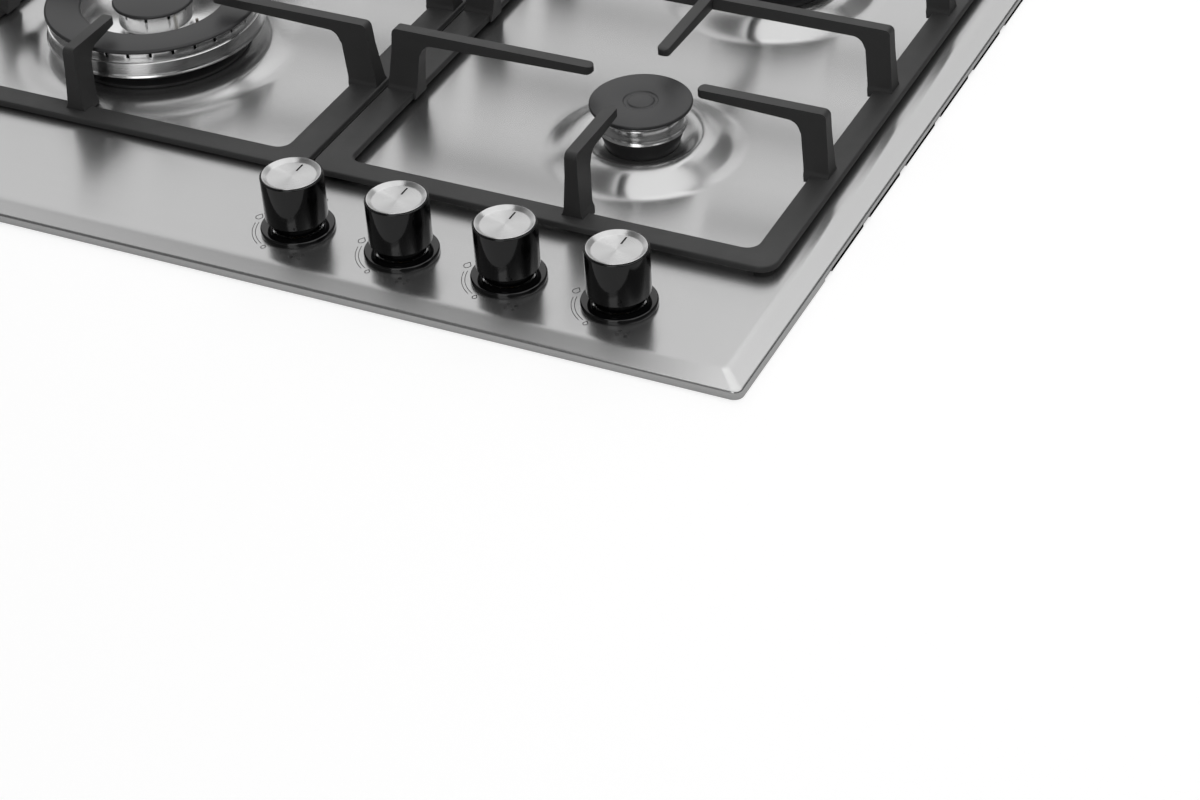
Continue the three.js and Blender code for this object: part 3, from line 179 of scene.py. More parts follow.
def press_sheet():
    """The sheet's upper face: lip, rim and flat with its wells, holes and slots."""
    bm = bmesh.new()
    face = rounded_rect(bm, -HALF_WIDTH, HALF_WIDTH, -HALF_DEPTH, HALF_DEPTH, FLAT - LIP, LIP_CORNER, 8)
    for (old_inset, _, old_radius), (inset, height, radius) in zip(RIM, RIM[1:]):
        drawn = bmesh.ops.extrude_face_region(bm, geom=[face])["geom"]
        bm.faces.remove(face)
        face = next(g for g in drawn if isinstance(g, bmesh.types.BMFace))
        for vert in face.verts:
            for axis, half in ((0, HALF_WIDTH), (1, HALF_DEPTH)):
                side = math.copysign(1, vert.co[axis])
                turn = (vert.co[axis] / MM - side * (half - old_inset - old_radius)) / old_radius
                vert.co[axis] = (side * (half - inset - radius) + turn * radius) * MM
            vert.co.z = (FLAT + height) * MM
    rim = face.edges[:]
    bm.faces.remove(face)
    borders = []
    for name, (foot, crest, seat, crest_height, seat_height, hole) in WELLS.items():
        x, y = BURNER_PLACES[name]
        border = foot + WELL_BORDER
        profile = [(border, 0), (foot, 0)] + slope(foot, 0, crest, crest_height, 10)
        profile += slope(crest, crest_height, seat, seat_height, 8) + [(hole, seat_height)]
        spin_profile(bm, [(r, FLAT + h) for r, h in profile], x, y, 96)
        borders += [e for e in bm.edges if len(e.link_faces) == 1 and all(
            abs(math.hypot(v.co.x / MM - x, v.co.y / MM - y) - border) < 0.01 for v in e.verts)]
    for x in KNOB_PLACES:
        place = Matrix.Translation((x * MM, KNOB_Y * MM, FLAT * MM))
        circle = bmesh.ops.create_circle(bm, cap_ends=False, radius=SPINDLE_HOLE * MM, segments=24,
                                         matrix=place)
        borders += list({e for v in circle["verts"] for e in v.link_edges})
    fill_between(bm, rim + borders)

    # slots in the lower edge of the side lips
    def lower_lip():
        return [f for f in bm.faces if f.calc_center_median().z < (FLAT + SLOT_TOP) * MM]

    def in_slot(face, middle):
        centre = face.calc_center_median() / MM
        return abs(centre.y - middle) < SLOT_LENGTH / 2 and abs(centre.x) > HALF_WIDTH - 0.1

    for i in range(SLOT_COUNT):
        middle = SLOT_MIDDLE_Y + (i - (SLOT_COUNT - 1) / 2) * SLOT_PITCH
        for y in (middle - SLOT_LENGTH / 2, middle + SLOT_LENGTH / 2):
            cut(bm, lower_lip(), (0, y, 0), (0, 1, 0))
        slots = [f for f in lower_lip() if in_slot(f, middle)]
        bmesh.ops.delete(bm, geom=slots, context="FACES")
    # the map's first axis runs from front to back, across the grain, as the sheen's does
    plan = bm.loops.layers.uv.new("plan")
    for face in bm.faces:
        for loop in face.loops:
            loop[plan].uv = (loop.vert.co.y, loop.vert.co.x)
    return bm


# Brushed stainless steel, ground with a belt from side to side: reflections keep crisp sides but
# smear from front to back. Metallic stays a little under 1, so that reflections of dark pieces
# are grey and not black.
# The grain is drawn 0.9 mm wide and 170 mm long, coarser than the real 0.1 mm, so that it shows.
brushed_steel = finish("brushed_stainless_steel", "c8c8c8", 0.92, 0.24, Anisotropic=0.8)
place = add(brushed_steel, "ShaderNodeTexCoord").outputs["Object"]
grain_way = add(brushed_steel, "ShaderNodeMapping", {"Vector": place, "Scale": (6, 1100, 1100)})
grain = add(brushed_steel, "ShaderNodeTexNoise",
            {"Vector": grain_way.outputs[0], "Scale": 1.0, "Detail": 3.0})
rough = add(brushed_steel, "ShaderNodeMapRange",
            {"Value": grain.outputs["Fac"], "From Min": 0.3, "From Max": 0.7, "To Min": 0.235,
             "To Max": 0.25})
wire(brushed_steel, rough.outputs[0], "Roughness")
ridges = add(brushed_steel, "ShaderNodeBump",
             {"Height": grain.outputs["Fac"], "Strength": 0.0025, "Distance": 0.0001})
wire(brushed_steel, ridges.outputs[0], "Normal")
along = add(brushed_steel, "ShaderNodeTangent", direction_type="UV_MAP", uv_map="plan")
wire(brushed_steel, along.outputs[0], "Tangent")

SHEET_GAUGE = 1.0
sheet = settled(press_sheet(), "pressed_top_sheet", brushed_steel, crease=40)
wall = sheet.modifiers.new("sheet_gauge", "SOLIDIFY")
wall.thickness = SHEET_GAUGE * MM
wall.offset = -1
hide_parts("top_sheet")
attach(sheet, "base")


# ---- Tray, seal, clamps and gas fittings -------------------------------------------------
# Under the sheet hangs a folded tray of galvanised steel with the taps, tubes and ignition
# box in it. A foam strip seals the rim and two screwed clamps hold the hob down.
def dress(material, *names):
    """Gives CAD nodes a finish."""
    for name in names:
        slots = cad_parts[name].data.materials
        slots.clear()
        slots.append(material)


# Hot-dip galvanised steel: crystals of zinc about 8 mm across, some shinier than others.
galvanised = finish("galvanised_steel_sheet", "a9abad", 1.0, 0.45)
place = add(galvanised, "ShaderNodeTexCoord").outputs["Object"]
spangle = add(galvanised, "ShaderNodeTexVoronoi", {"Vector": place, "Scale": 125.0}, feature="F1")
zinc_tone = add(galvanised, "ShaderNodeMapRange",
                {"Value": spangle.outputs["Color"], "To Min": 0.36, "To Max": 0.56})
wire(galvanised, zinc_tone.outputs[0], "Roughness")
dress(galvanised, "bottom_tray", "worktop_clamp_left", "worktop_clamp_right", "gas_rail")

# Closed-cell rubber foam, dull and black, with its pores drawn 0.6 mm wide.
foam = finish("closed_cell_foam", "1f1f20", 0.0, 0.95)
place = add(foam, "ShaderNodeTexCoord").outputs["Object"]
pores = add(foam, "ShaderNodeTexVoronoi", {"Vector": place, "Scale": 1600.0})
pitted = add(foam, "ShaderNodeBump",
             {"Height": pores.outputs["Distance"], "Strength": 0.6, "Distance": 0.0004})
wire(foam, pitted.outputs[0], "Normal")
dress(foam, "worktop_seal")

# Die-cast aluminium: grey and satin, with a sand-like skin drawn 0.8 mm wide, coarser than real.
cast_aluminium = finish("die_cast_aluminium", "b9babc", 1.0, 0.42)
place = add(cast_aluminium, "ShaderNodeTexCoord").outputs["Object"]
skin = add(cast_aluminium, "ShaderNodeTexNoise", {"Vector": place, "Scale": 1200.0, "Detail": 3.0})
skin_bump = add(cast_aluminium, "ShaderNodeBump",
                {"Height": skin.outputs["Fac"], "Strength": 0.2, "Distance": 0.0002})
wire(cast_aluminium, skin_bump.outputs[0], "Normal")
# the taps and their knobs, from left to right
CONTROLS = ("front_left", "rear_left", "rear_right", "front_right")
dress(cast_aluminium, *(f"gas_tap_{n}" for n in CONTROLS), *(f"supply_tube_{n}" for n in CONTROLS))

# Turned brass: yellow and bright, with tool marks drawn 0.3 mm wide, coarser than real.
turned_brass = finish("turned_brass", "b8945a", 1.0, 0.3)
place = add(turned_brass, "ShaderNodeTexCoord").outputs["Object"]
cuts = add(turned_brass, "ShaderNodeTexNoise", {"Vector": place, "Scale": 3000.0, "Detail": 2.0})
brass_tone = add(turned_brass, "ShaderNodeMapRange",
                 {"Value": cuts.outputs["Fac"], "To Min": 0.22, "To Max": 0.4})
wire(turned_brass, brass_tone.outputs[0], "Roughness")
dress(turned_brass, "inlet_fitting", *(f"tap_spindle_{n}" for n in CONTROLS))

# Moulded nylon, black and dull from the spark-eroded grain of its mould, which is drawn 0.7 mm
# wide, coarser than real.
moulded_black = finish("grained_black_plastic", "1b1b1d", 0.0, 0.5)
place = add(moulded_black, "ShaderNodeTexCoord").outputs["Object"]
mould_grain = add(moulded_black, "ShaderNodeTexNoise", {"Vector": place, "Scale": 1500.0, "Detail": 2.0})
grained = add(moulded_black, "ShaderNodeBump",
              {"Height": mould_grain.outputs["Fac"], "Strength": 0.3, "Distance": 0.0002})
wire(moulded_black, grained.outputs[0], "Normal")
dress(moulded_black, "ignition_module", "cable_gland")


# ---- Burners ----------------------------------------------------------------------------
# Each burner is an enamelled cup fixed to the sheet, a turned aluminium crown with milled
# flame ports that drops into it, and a pressed cap of black enamelled steel on top.

# Vitreous enamel fired on steel: near black and satin, with a faint orange peel 1.1 mm wide.
black_enamel = finish("black_vitreous_enamel", "363637", 0.0, 0.42, Specular_IOR_Level=0.5)
place = add(black_enamel, "ShaderNodeTexCoord").outputs["Object"]
orange_peel = add(black_enamel, "ShaderNodeTexNoise", {"Vector": place, "Scale": 900.0, "Detail": 2.0})
dimple = add(black_enamel, "ShaderNodeBump",
             {"Height": orange_peel.outputs["Fac"], "Strength": 0.12, "Distance": 0.0002})
wire(black_enamel, dimple.outputs[0], "Normal")

# Turned aluminium: bright, with tool marks round it drawn 0.3 mm apart, coarser than real.
turned_aluminium = finish("turned_aluminium", "ececec", 1.0, 0.22)
place = add(turned_aluminium, "ShaderNodeTexCoord").outputs["Object"]
tool_way = add(turned_aluminium, "ShaderNodeMapping", {"Vector": place, "Scale": (60, 60, 3000)})
tool_marks = add(turned_aluminium, "ShaderNodeTexNoise",
                 {"Vector": tool_way.outputs[0], "Scale": 1.0, "Detail": 2.0})
fine_line = add(turned_aluminium, "ShaderNodeBump",
                {"Height": tool_marks.outputs["Fac"], "Strength": 0.03, "Distance": 0.0001})
wire(turned_aluminium, fine_line.outputs[0], "Normal")
tone = add(turned_aluminium, "ShaderNodeMapRange",
           {"Value": tool_marks.outputs["Fac"], "To Min": 0.18, "To Max": 0.27})
wire(turned_aluminium, tone.outputs[0], "Roughness")


def ease(bm, radius, segments, angle=28):
    """Rounds every edge sharper than angle."""
    sharp = [e for e in bm.edges if len(e.link_faces) == 2 and e.calc_face_angle() > math.radians(angle)]
    bmesh.ops.bevel(bm, geom=sharp, offset=radius * MM, offset_type="OFFSET", affect="EDGES",
                    segments=segments, profile=0.5, material=-1, clamp_overlap=True)


def pull(bm, faces, height, keep=False):
    """Moves faces up or down with walls round them; keep leaves the faces in place as well."""
    moved = bmesh.ops.extrude_face_region(bm, geom=faces)["geom"]
    if not keep:
        bmesh.ops.delete(bm, geom=faces, context="FACES_ONLY")
    corners = [g for g in moved if isinstance(g, bmesh.types.BMVert)]
    bmesh.ops.translate(bm, vec=(0, 0, height * MM), verts=corners)


def ring(profile, x, y, name, material, edge, steps=96, ports=()):
    """A turned piece. Its profile is (radius, height above the flat) points and edge is the radius
    of its edges. Ports are (count, inner radius, outer radius, rise, gap cells) of milled walls."""
    bm = bmesh.new()
    spin_profile(bm, [(r, FLAT + h) for r, h in profile], x, y, steps, closed=profile[0][0] > 0)
    bmesh.ops.recalc_face_normals(bm, faces=bm.faces[:])
    for count, inner, outer, rise, cells in ports:
        walls = []
        for face in bm.faces:
            middle = face.calc_center_median() / MM - Vector((x, y, 0))
            cell = int((math.atan2(middle.y, middle.x) % (2 * math.pi)) / (2 * math.pi) * steps)
            on_top = face.normal.z > 0.9 and inner < middle.xy.length < outer
            if on_top and cell % (steps // count) >= cells:
                walls.append(face)
        pull(bm, walls, rise)
    ease(bm, edge, 2)
    return settled(bm, name, material)


def burner(name, cap, ports):
    """The three turned pieces of a burner; each radius steps in from the cap's."""
    x, y = BURNER_PLACES[name]
    crown = cap - 3.2
    shoulder = crown - 4.8
    low = shoulder - 3.4
    chamber = shoulder - 6.5
    cup = ring([(0, -26), (10, -26), (10, -19), (low, -14), (low, 2.8), (shoulder, 2.8),
                (shoulder + 1.2, 6), (shoulder + 3.6, 13.2), (shoulder + 3.2, 13.7), (chamber, 13.7),
                (chamber, -12), (0, -12)], x, y, f"cup_{name}", black_enamel, 0.6)
    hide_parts(f"burner_cup_{name}")
    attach(cup, "base")
    # the ports lie between these two radii, and the spigot drops into the cup
    port = crown - 2.2
    inner = port - 4.5
    spigot = shoulder - 7.3
    head = ring([(6, 8), (spigot, 8), (spigot, 14), (crown - 0.2, 14), (crown, 14.3),
                 (crown - 0.5, 14.75), (crown - 0.95, 15.5), (crown - 1.2, 16.5), (crown - 1.3, 18),
                 (crown - 1.5, 21.8), (crown - 1.9, 22.5), (port, 22.6), (port, 23), (inner, 23),
                 (inner, 17), (6, 17)],
                x, y, f"crown_{name}", turned_aluminium, 0.15, steps=ports * 6,
                ports=[(ports, inner, port, 2.2, 1)])
    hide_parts(f"flame_crown_{name}")
    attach(head, f"crown_{name}")
    # the cap has a collar below that centres it in the crown and a ring groove in its top
    collar = inner - 0.3
    lid = ring([(0, 25.2), (collar - 2, 25.2), (collar - 2, 22.2), (collar, 22.2), (collar, 25.2),
                (cap - 2.6, 25.2), (cap, 26.5), (cap, 27.7), (cap - 0.6, 28.3), (9.7, 28.3), (9.1, 27.7),
                (7.5, 27.7), (6.9, 28.3), (0, 28.3)], x, y, f"cap_{name}", black_enamel, 0.35)
    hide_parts(f"burner_cap_{name}")
    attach(lid, f"cap_{name}")


burner("front_right", cap=27.8, ports=20)
burner("rear_right", cap=37.5, ports=24)
burner("rear_left", cap=37.5, ports=24)

# Double-ring burner: an outer ring of flames under an annular cap and a small burner inside it.
WOK_X, WOK_Y = BURNER_PLACES["front_left"]
wok_cup = ring([(0, -26), (12.8, -26), (12.8, -18), (40, -12), (40, 1.8), (53, 1.8), (53, 3.8),
                (46, 3.8), (46, 14), (24.8, 14), (24.8, -8), (0, -8)],
               WOK_X, WOK_Y, "cup_front_left", black_enamel, 0.6)
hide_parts("burner_cup_front_left")
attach(wok_cup, "base")
wok_crown = ring([(9, 8), (24, 8), (24, 14), (62.4, 14), (62.8, 14.4), (62.1, 15.2), (61.8, 16.5),
                  (61.6, 22.4), (61.2, 22.8), (60.4, 22.9), (60.4, 25.8), (54.9, 25.8), (54.9, 18),
                  (47.5, 18), (47.5, 28.2), (43, 28.2), (43, 18), (21, 18), (21, 25.8), (16.5, 25.8),
                  (16.5, 18), (9, 18)],
                 WOK_X, WOK_Y, "crown_front_left", turned_aluminium, 0.15, steps=240,
                 ports=[(30, 54.9, 60.4, 2.4, 1), (10, 16.5, 21, 2.4, 3)])
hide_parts("flame_crown_front_left")
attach(wok_crown, "crown_front_left")
ring_cap = ring([(41.5, 28.2), (47.8, 28.2), (47.8, 26.2), (49.8, 26.2), (49.8, 28.2), (60, 28.2),
                 (62, 29.2), (62, 29.9), (60.8, 30.9), (42.5, 30.9), (41.5, 29.9)],
                WOK_X, WOK_Y, "cap_front_left_ring", black_enamel, 0.35)
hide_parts("burner_cap_front_left_ring")
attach(ring_cap, "cap_front_left_ring")
centre_cap = ring([(0, 28.2), (14.2, 28.2), (14.2, 26.2), (16.2, 26.2), (16.2, 28.2), (21.5, 28.2),
                   (23.5, 29.2), (23.5, 30.1), (22.7, 30.9), (0, 30.9)],
                  WOK_X, WOK_Y, "cap_front_left_centre", black_enamel, 0.35)
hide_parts("burner_cap_front_left_centre")
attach(centre_cap, "cap_front_left_centre")


# ---- Spark electrodes -------------------------------------------------------------------
# A glazed white ceramic tube stands beside each burner, or in the gap of the double-ring one,
# and a thin steel pin comes out of its top, a few millimetres from the flame ports.

# Glazed alumina: warm white and glossy, with patches of 1.4 mm that the firing left duller.
glazed_ceramic = finish("glazed_white_ceramic", "e6e3da", 0.0, 0.2, Coat_Weight=0.4)
place = add(glazed_ceramic, "ShaderNodeTexCoord").outputs["Object"]
speck = add(glazed_ceramic, "ShaderNodeTexNoise", {"Vector": place, "Scale": 700.0, "Detail": 2.0})
glaze = add(glazed_ceramic, "ShaderNodeMapRange",
            {"Value": speck.outputs["Fac"], "To Min": 0.12, "To Max": 0.3})
wire(glazed_ceramic, glaze.outputs[0], "Roughness")

# Drawn steel wire, dulled and browned by the flame, with drawing marks 0.25 mm wide along it.
heated_steel = finish("heat_tinted_steel_wire", "8d8781", 1.0, 0.35)
place = add(heated_steel, "ShaderNodeTexCoord").outputs["Object"]
drawn = add(heated_steel, "ShaderNodeMapping", {"Vector": place, "Scale": (4000, 4000, 100)})
scratch = add(heated_steel, "ShaderNodeTexNoise", {"Vector": drawn.outputs[0], "Scale": 1.0})
dull = add(heated_steel, "ShaderNodeMapRange",
           {"Value": scratch.outputs["Fac"], "To Min": 0.25, "To Max": 0.5})
wire(heated_steel, dull.outputs[0], "Roughness")

# name: angle and radius of the tube round its burner, its lowest and highest level, the pin's top
ELECTRODES = {
    "front_right": (130, 28.4, -12, 17, 22.7),
    "rear_right": (130, 38.1, -12, 17, 22.7),
    "rear_left": (50, 38.1, -12, 17, 22.7),
    "front_left": (-12, 34.0, -20, 22, 27),
}
for name, (angle, radius, low, top, tip) in ELECTRODES.items():
    x, y = BURNER_PLACES[name]
    x += radius * math.cos(math.radians(angle))
    y += radius * math.sin(math.radians(angle))
    tube = ring([(1, low), (2.6, low), (2.6, top - 2.2), (2.1, top - 0.7), (1.2, top), (1, top)],
                x, y, f"electrode_tube_{name}", glazed_ceramic, 0.2, 32)
    pin = ring([(0, low + 1), (0.9, low + 1), (0.9, tip), (0, tip)],
               x, y, f"electrode_pin_{name}", heated_steel, 0.3, 16)
    for piece in (tube, pin):
        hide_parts(f"spark_electrode_{name}")
        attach(piece, "base")


# ---- Pan supports -----------------------------------------------------------------------
# Each is one iron casting under matt black enamel: a flat frame with a raised crossbar and
# eight raised fingers on leaning posts. It stands on four rubber feet and lifts off.

# Matt enamel on sand-cast iron: dark grey and dull, with the grain of the sand, drawn 0.8 mm
# wide, coarser than real, and clouds of 17 mm that are a little duller.
cast_enamel = finish("enamelled_cast_iron", "3b3b3b", 0.0, 0.5, Specular_IOR_Level=0.5)
place = add(cast_enamel, "ShaderNodeTexCoord").outputs["Object"]
sand = add(cast_enamel, "ShaderNodeTexNoise", {"Vector": place, "Scale": 1300.0, "Detail": 3.0})
cast_skin = add(cast_enamel, "ShaderNodeBump",
                {"Height": sand.outputs["Fac"], "Strength": 0.25, "Distance": 0.0003})
wire(cast_enamel, cast_skin.outputs[0], "Normal")
cloud = add(cast_enamel, "ShaderNodeTexNoise", {"Vector": place, "Scale": 60.0, "Detail": 3.0})
dull = add(cast_enamel, "ShaderNodeMapRange",
           {"Value": cloud.outputs["Fac"], "To Min": 0.42, "To Max": 0.62})
wire(cast_enamel, dull.outputs[0], "Roughness")

# distance from the bar's outer edge to the post's outer foot, outer top, inner foot, inner top
END_POST = (6.8, 9.1, 20.6, 24.6)
SIDE_POST = (4.7, 7.2, 18.7, 21.7)
SEAM_POST = (0.6, 5.8, 18.6, 23.1)
# levels above the frame's underside: its top, a finger's underside and top, its tip's underside
FRAME_TOP, FINGER_LOW, FINGER_TOP, TIP_LOW = 4, 34, 41, 36.2
POST_FOOT_WIDTH, FINGER_WIDTH, ROOT_FLARE = 10.5, 6.6, 1.2
INNER_BEND, OUTER_BEND = 7, 3


def post_sections(post, start):
    """Outer point, inner point and half width up a post and round its corner."""
    outer_foot, outer_top, inner_foot, inner_top = post

    def at(foot, top, h):
        return foot + (top - foot) * h / FINGER_LOW

    def half_width(h):
        return at(POST_FOOT_WIDTH, FINGER_WIDTH, h) / 2

    def level(h, flare):
        return (at(outer_foot, outer_top, h), h), (at(inner_foot, inner_top, h), h), half_width(h) + flare

    bend_start = FINGER_LOW - INNER_BEND
    sections = [level(start, ROOT_FLARE), level(FRAME_TOP, ROOT_FLARE), level(5.2, 0.5), level(7.2, 0),
                level(bend_start, 0)]
    for degrees in (15, 30, 45, 60, 75, 90):
        a, b = math.radians(degrees), math.radians(max(degrees - 30, 0) * 1.5)
        h = bend_start + INNER_BEND * math.sin(a)
        outer = (outer_top + OUTER_BEND * (1 - math.cos(b)),
                 FINGER_TOP - OUTER_BEND + OUTER_BEND * math.sin(b))
        sections.append((outer, (inner_top + INNER_BEND * (1 - math.cos(a)), h), half_width(h)))
    return sections


def tip_sections(reach):
    """The rounded end of a finger that reaches this far from the bar's outer edge."""
    sections = []
    for degrees in (0, 20, 40, 60, 75):
        a = math.radians(degrees)
        out = reach - FINGER_WIDTH / 2 * (1 - math.sin(a))
        drop = 1 - math.cos(a)
        half = FINGER_WIDTH / 2 * math.cos(a) + 0.15
        sections.append(((out, FINGER_TOP - drop), (out, TIP_LOW + drop), half))
    return sections


def sweep(bm, sections, origin, way, low):
    """Extrudes one four-cornered section after another; returns the long edges and the last ones."""
    def corner(along, height, across):
        x = origin[0] + way[0] * along - way[1] * across
        y = origin[1] + way[1] * along + way[0] * across
        return Vector((x * MM, y * MM, (low + height) * MM))

    def corners(section):
        (o, oh), (i, ih), half = section
        return [corner(*c) for c in ((o, oh, -half), (i, ih, -half), (i, ih, half), (o, oh, half))]

    verts = [bm.verts.new(c) for c in corners(sections[0])]
    first = face = bm.faces.new(reversed(verts))
    long_edges = []
    for section in sections[1:]:
        made = bmesh.ops.extrude_face_region(bm, geom=[face])["geom"]
        if face is not first:
            bm.faces.remove(face)
        face = next(g for g in made if isinstance(g, bmesh.types.BMFace))
        moved = [g for g in made if isinstance(g, bmesh.types.BMVert)]
        mates = [min(moved, key=lambda m: (m.co - v.co).length) for v in verts]
        for mate, target in zip(mates, corners(section)):
            mate.co = target
        long_edges += [bm.edges.get(pair) for pair in zip(verts, mates)]
        verts = mates
    return [e for e in long_edges if e] + face.edges[:]


# plan of a casting: its edge at the seam, its outer edge, its front and back and its bars' widths
SEAM_EDGE, OUTER_EDGE, FRONT_EDGE, BACK_EDGE = 2.4, 270.2, -162.6, 206.4
SEAM_BAR, OUTER_BAR, END_BAR = 17.6, 15.4, 14.4
CROSSBAR_Y = 21.9


def pan_support(side, low, burners, start):
    """One casting: the frame, four fingers to each of its two burners, and the crossbar."""
    bm = bmesh.new()
    # the flat frame: its outline bridged to the opening, raised and its edges rounded
    left, right = sorted((side * SEAM_EDGE, side * OUTER_EDGE))
    left_bar, right_bar = (SEAM_BAR, OUTER_BAR) if side > 0 else (OUTER_BAR, SEAM_BAR)
    big = rounded_rect(bm, left, right, FRONT_EDGE, BACK_EDGE, low, 10, 6)
    small = rounded_rect(bm, left + left_bar, right - right_bar,
                         FRONT_EDGE + END_BAR, BACK_EDGE - END_BAR, low, 7, 6)
    edges = big.edges[:] + small.edges[:]
    bmesh.ops.delete(bm, geom=[big, small], context="FACES_ONLY")
    bmesh.ops.bridge_loops(bm, edges=edges)
    pull(bm, bm.faces[:], FRAME_TOP, keep=True)
    bmesh.ops.recalc_face_normals(bm, faces=bm.faces[:])
    ease(bm, 1.1, 3, 50)
    # to each burner two fingers from the long bars, one from the end bar and one from the crossbar
    end, seam, outer = (post_sections(post, start) for post in (END_POST, SEAM_POST, SIDE_POST))
    root = [((0, FINGER_TOP), (0, FINGER_LOW), FINGER_WIDTH / 2)]
    members = []
    for (name, tips), bar_y, way in zip(burners.items(), (FRONT_EDGE, BACK_EDGE), (1, -1)):
        x, y = BURNER_PLACES[name]
        members += [
            (end + tip_sections(abs(y - bar_y) - tips[0]), (x, bar_y), (0, way)),
            (seam + tip_sections(abs(x) - SEAM_EDGE - tips[1]), (side * SEAM_EDGE, y), (side, 0)),
            (outer + tip_sections(OUTER_EDGE - abs(x) - tips[2]), (side * OUTER_EDGE, y), (-side, 0)),
            (root + tip_sections(abs(y - CROSSBAR_Y) - tips[3]), (x, CROSSBAR_Y), (0, -way)),
        ]
    # the crossbar, from a post at the seam to one at the outer bar
    span = OUTER_EDGE - SEAM_EDGE
    far = [((span - o, oh), (span - i, ih), half) for (o, oh), (i, ih), half in reversed(outer)]
    members.append((seam + far, (side * SEAM_EDGE, CROSSBAR_Y), (side, 0)))
    for sections, origin, way in members:
        part = bmesh.new()
        edges = sweep(part, sections, origin, way, low)
        bmesh.ops.recalc_face_normals(part, faces=part.faces[:])
        bmesh.ops.bevel(part, geom=edges, offset=0.9 * MM, offset_type="OFFSET", affect="EDGES",
                        segments=3, profile=0.5, material=-1, clamp_overlap=True)
        bmesh.ops.recalc_face_normals(part, faces=part.faces[:])
        # a spare mesh carries the member over to the casting
        spare = bpy.data.meshes.new("member")
        part.to_mesh(spare)
        part.free()
        bm.from_mesh(spare)
        bpy.data.meshes.remove(spare)
    return bm


# name, side, height of the frame over the sheet, how far from its burner's middle each finger
# ends (from the end bar, the seam, the outer bar and the crossbar), start of a post in the frame
for word, side, lift, burners, start in (
        ("left", -1, 1, {"front_left": (42, 42, 42, 42), "rear_left": (32, 32, 32, 32)}, 2),
        ("right", 1, 3, {"front_right": (32.8, 27.3, 33.8, 27.9), "rear_right": (32, 32, 32, 32)}, 0)):
    casting = pan_support(side, FLAT + lift, burners, start)
    support = settled(casting, f"pan_support_casting_{word}", cast_enamel, crease=50)
    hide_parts(f"pan_support_{word}")
    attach(support, f"support_{word}")


# ---- Support feet -----------------------------------------------------------------------
# Four feet of moulded rubber push into each casting from below and keep it off the steel. The
# feet of the right casting are higher than those of the left one.

# Moulded rubber: black and dull with a faint bloom in patches of 2 mm.
black_rubber = finish("moulded_black_rubber", "181818", 0.0, 0.75)
place = add(black_rubber, "ShaderNodeTexCoord").outputs["Object"]
bloom = add(black_rubber, "ShaderNodeTexNoise", {"Vector": place, "Scale": 500.0, "Detail": 3.0})
matt = add(black_rubber, "ShaderNodeMapRange",
           {"Value": bloom.outputs["Fac"], "To Min": 0.65, "To Max": 0.85})
wire(black_rubber, matt.outputs[0], "Roughness")
INNER_X, OUTER_X, NEAR_Y, FAR_Y = 11.2, 262.5, -155.4, 199.2
for word, side, high in (("left", -1, 1), ("right", 1, 3)):
    for corner, x, y in (("front_inner", INNER_X, NEAR_Y), ("front_outer", OUTER_X, NEAR_Y),
                         ("rear_inner", INNER_X, FAR_Y), ("rear_outer", OUTER_X, FAR_Y)):
        pad = ring([(0, 0), (5, 0), (5.5, high), (0, high)],
                   side * x, y, f"foot_pad_{word}_{corner}", black_rubber, 0.2, 40)
        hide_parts(f"support_foot_{word}_{corner}")
        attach(pad, f"support_{word}")


# ---- Knobs ------------------------------------------------------------------------------
# Each knob is a gloss black moulding on a narrower neck, with a dished disc of spun aluminium
# let into its top. The disc has an engraved pointer filled with black; a black collar clips
# into the sheet round the neck.

# Moulded gloss plastic: deep black that mirrors the steel in front of it, with flow marks of
# 8 mm in its polish.
gloss_black = finish("gloss_black_moulded_plastic", "0a0a0b", 0.0, 0.09, Specular_IOR_Level=0.5)
place = add(gloss_black, "ShaderNodeTexCoord").outputs["Object"]
flow = add(gloss_black, "ShaderNodeTexNoise", {"Vector": place, "Scale": 120.0, "Detail": 2.0})
polish = add(gloss_black, "ShaderNodeMapRange",
             {"Value": flow.outputs["Fac"], "To Min": 0.06, "To Max": 0.13})
wire(gloss_black, polish.outputs[0], "Roughness")

# Spun aluminium: fine circles that fan the light out in bright and dark wedges. They are drawn
# 0.2 mm apart, coarser than real ones.
spun_aluminium = finish("spun_aluminium", "cfcfcf", 1.0, 0.3, Anisotropic=0.88)
face_map = add(spun_aluminium, "ShaderNodeUVMap", uv_map="turned").outputs[0]
circles = add(spun_aluminium, "ShaderNodeMapping", {"Vector": face_map, "Scale": (4500, 3, 1)})
spin_lines = add(spun_aluminium, "ShaderNodeTexNoise",
                 {"Vector": circles.outputs[0], "Scale": 1.0, "Detail": 2.0})
satin = add(spun_aluminium, "ShaderNodeMapRange",
            {"Value": spin_lines.outputs["Fac"], "From Min": 0.3, "From Max": 0.7, "To Min": 0.27,
             "To Max": 0.34})
wire(spun_aluminium, satin.outputs[0], "Roughness")
radial = add(spun_aluminium, "ShaderNodeTangent", direction_type="UV_MAP", uv_map="turned")
wire(spun_aluminium, radial.outputs[0], "Tangent")

# Black paint wiped into the engraving: matt and slightly chalky in spots of 0.7 mm.
pointer_paint = finish("black_pointer_filling", "1a1a1a", 0.0, 0.5)
place = add(pointer_paint, "ShaderNodeTexCoord").outputs["Object"]
pits = add(pointer_paint, "ShaderNodeTexNoise", {"Vector": place, "Scale": 1500.0})
chalk = add(pointer_paint, "ShaderNodeMapRange",
            {"Value": pits.outputs["Fac"], "To Min": 0.4, "To Max": 0.65})
wire(pointer_paint, chalk.outputs[0], "Roughness")

DISH_LEVEL, DISH_RADIUS = 32.1, 12.4
POINTER_WIDTH, POINTER_START, POINTER_END, POINTER_DEPTH = 1.0, 5, 11.4, 0.4


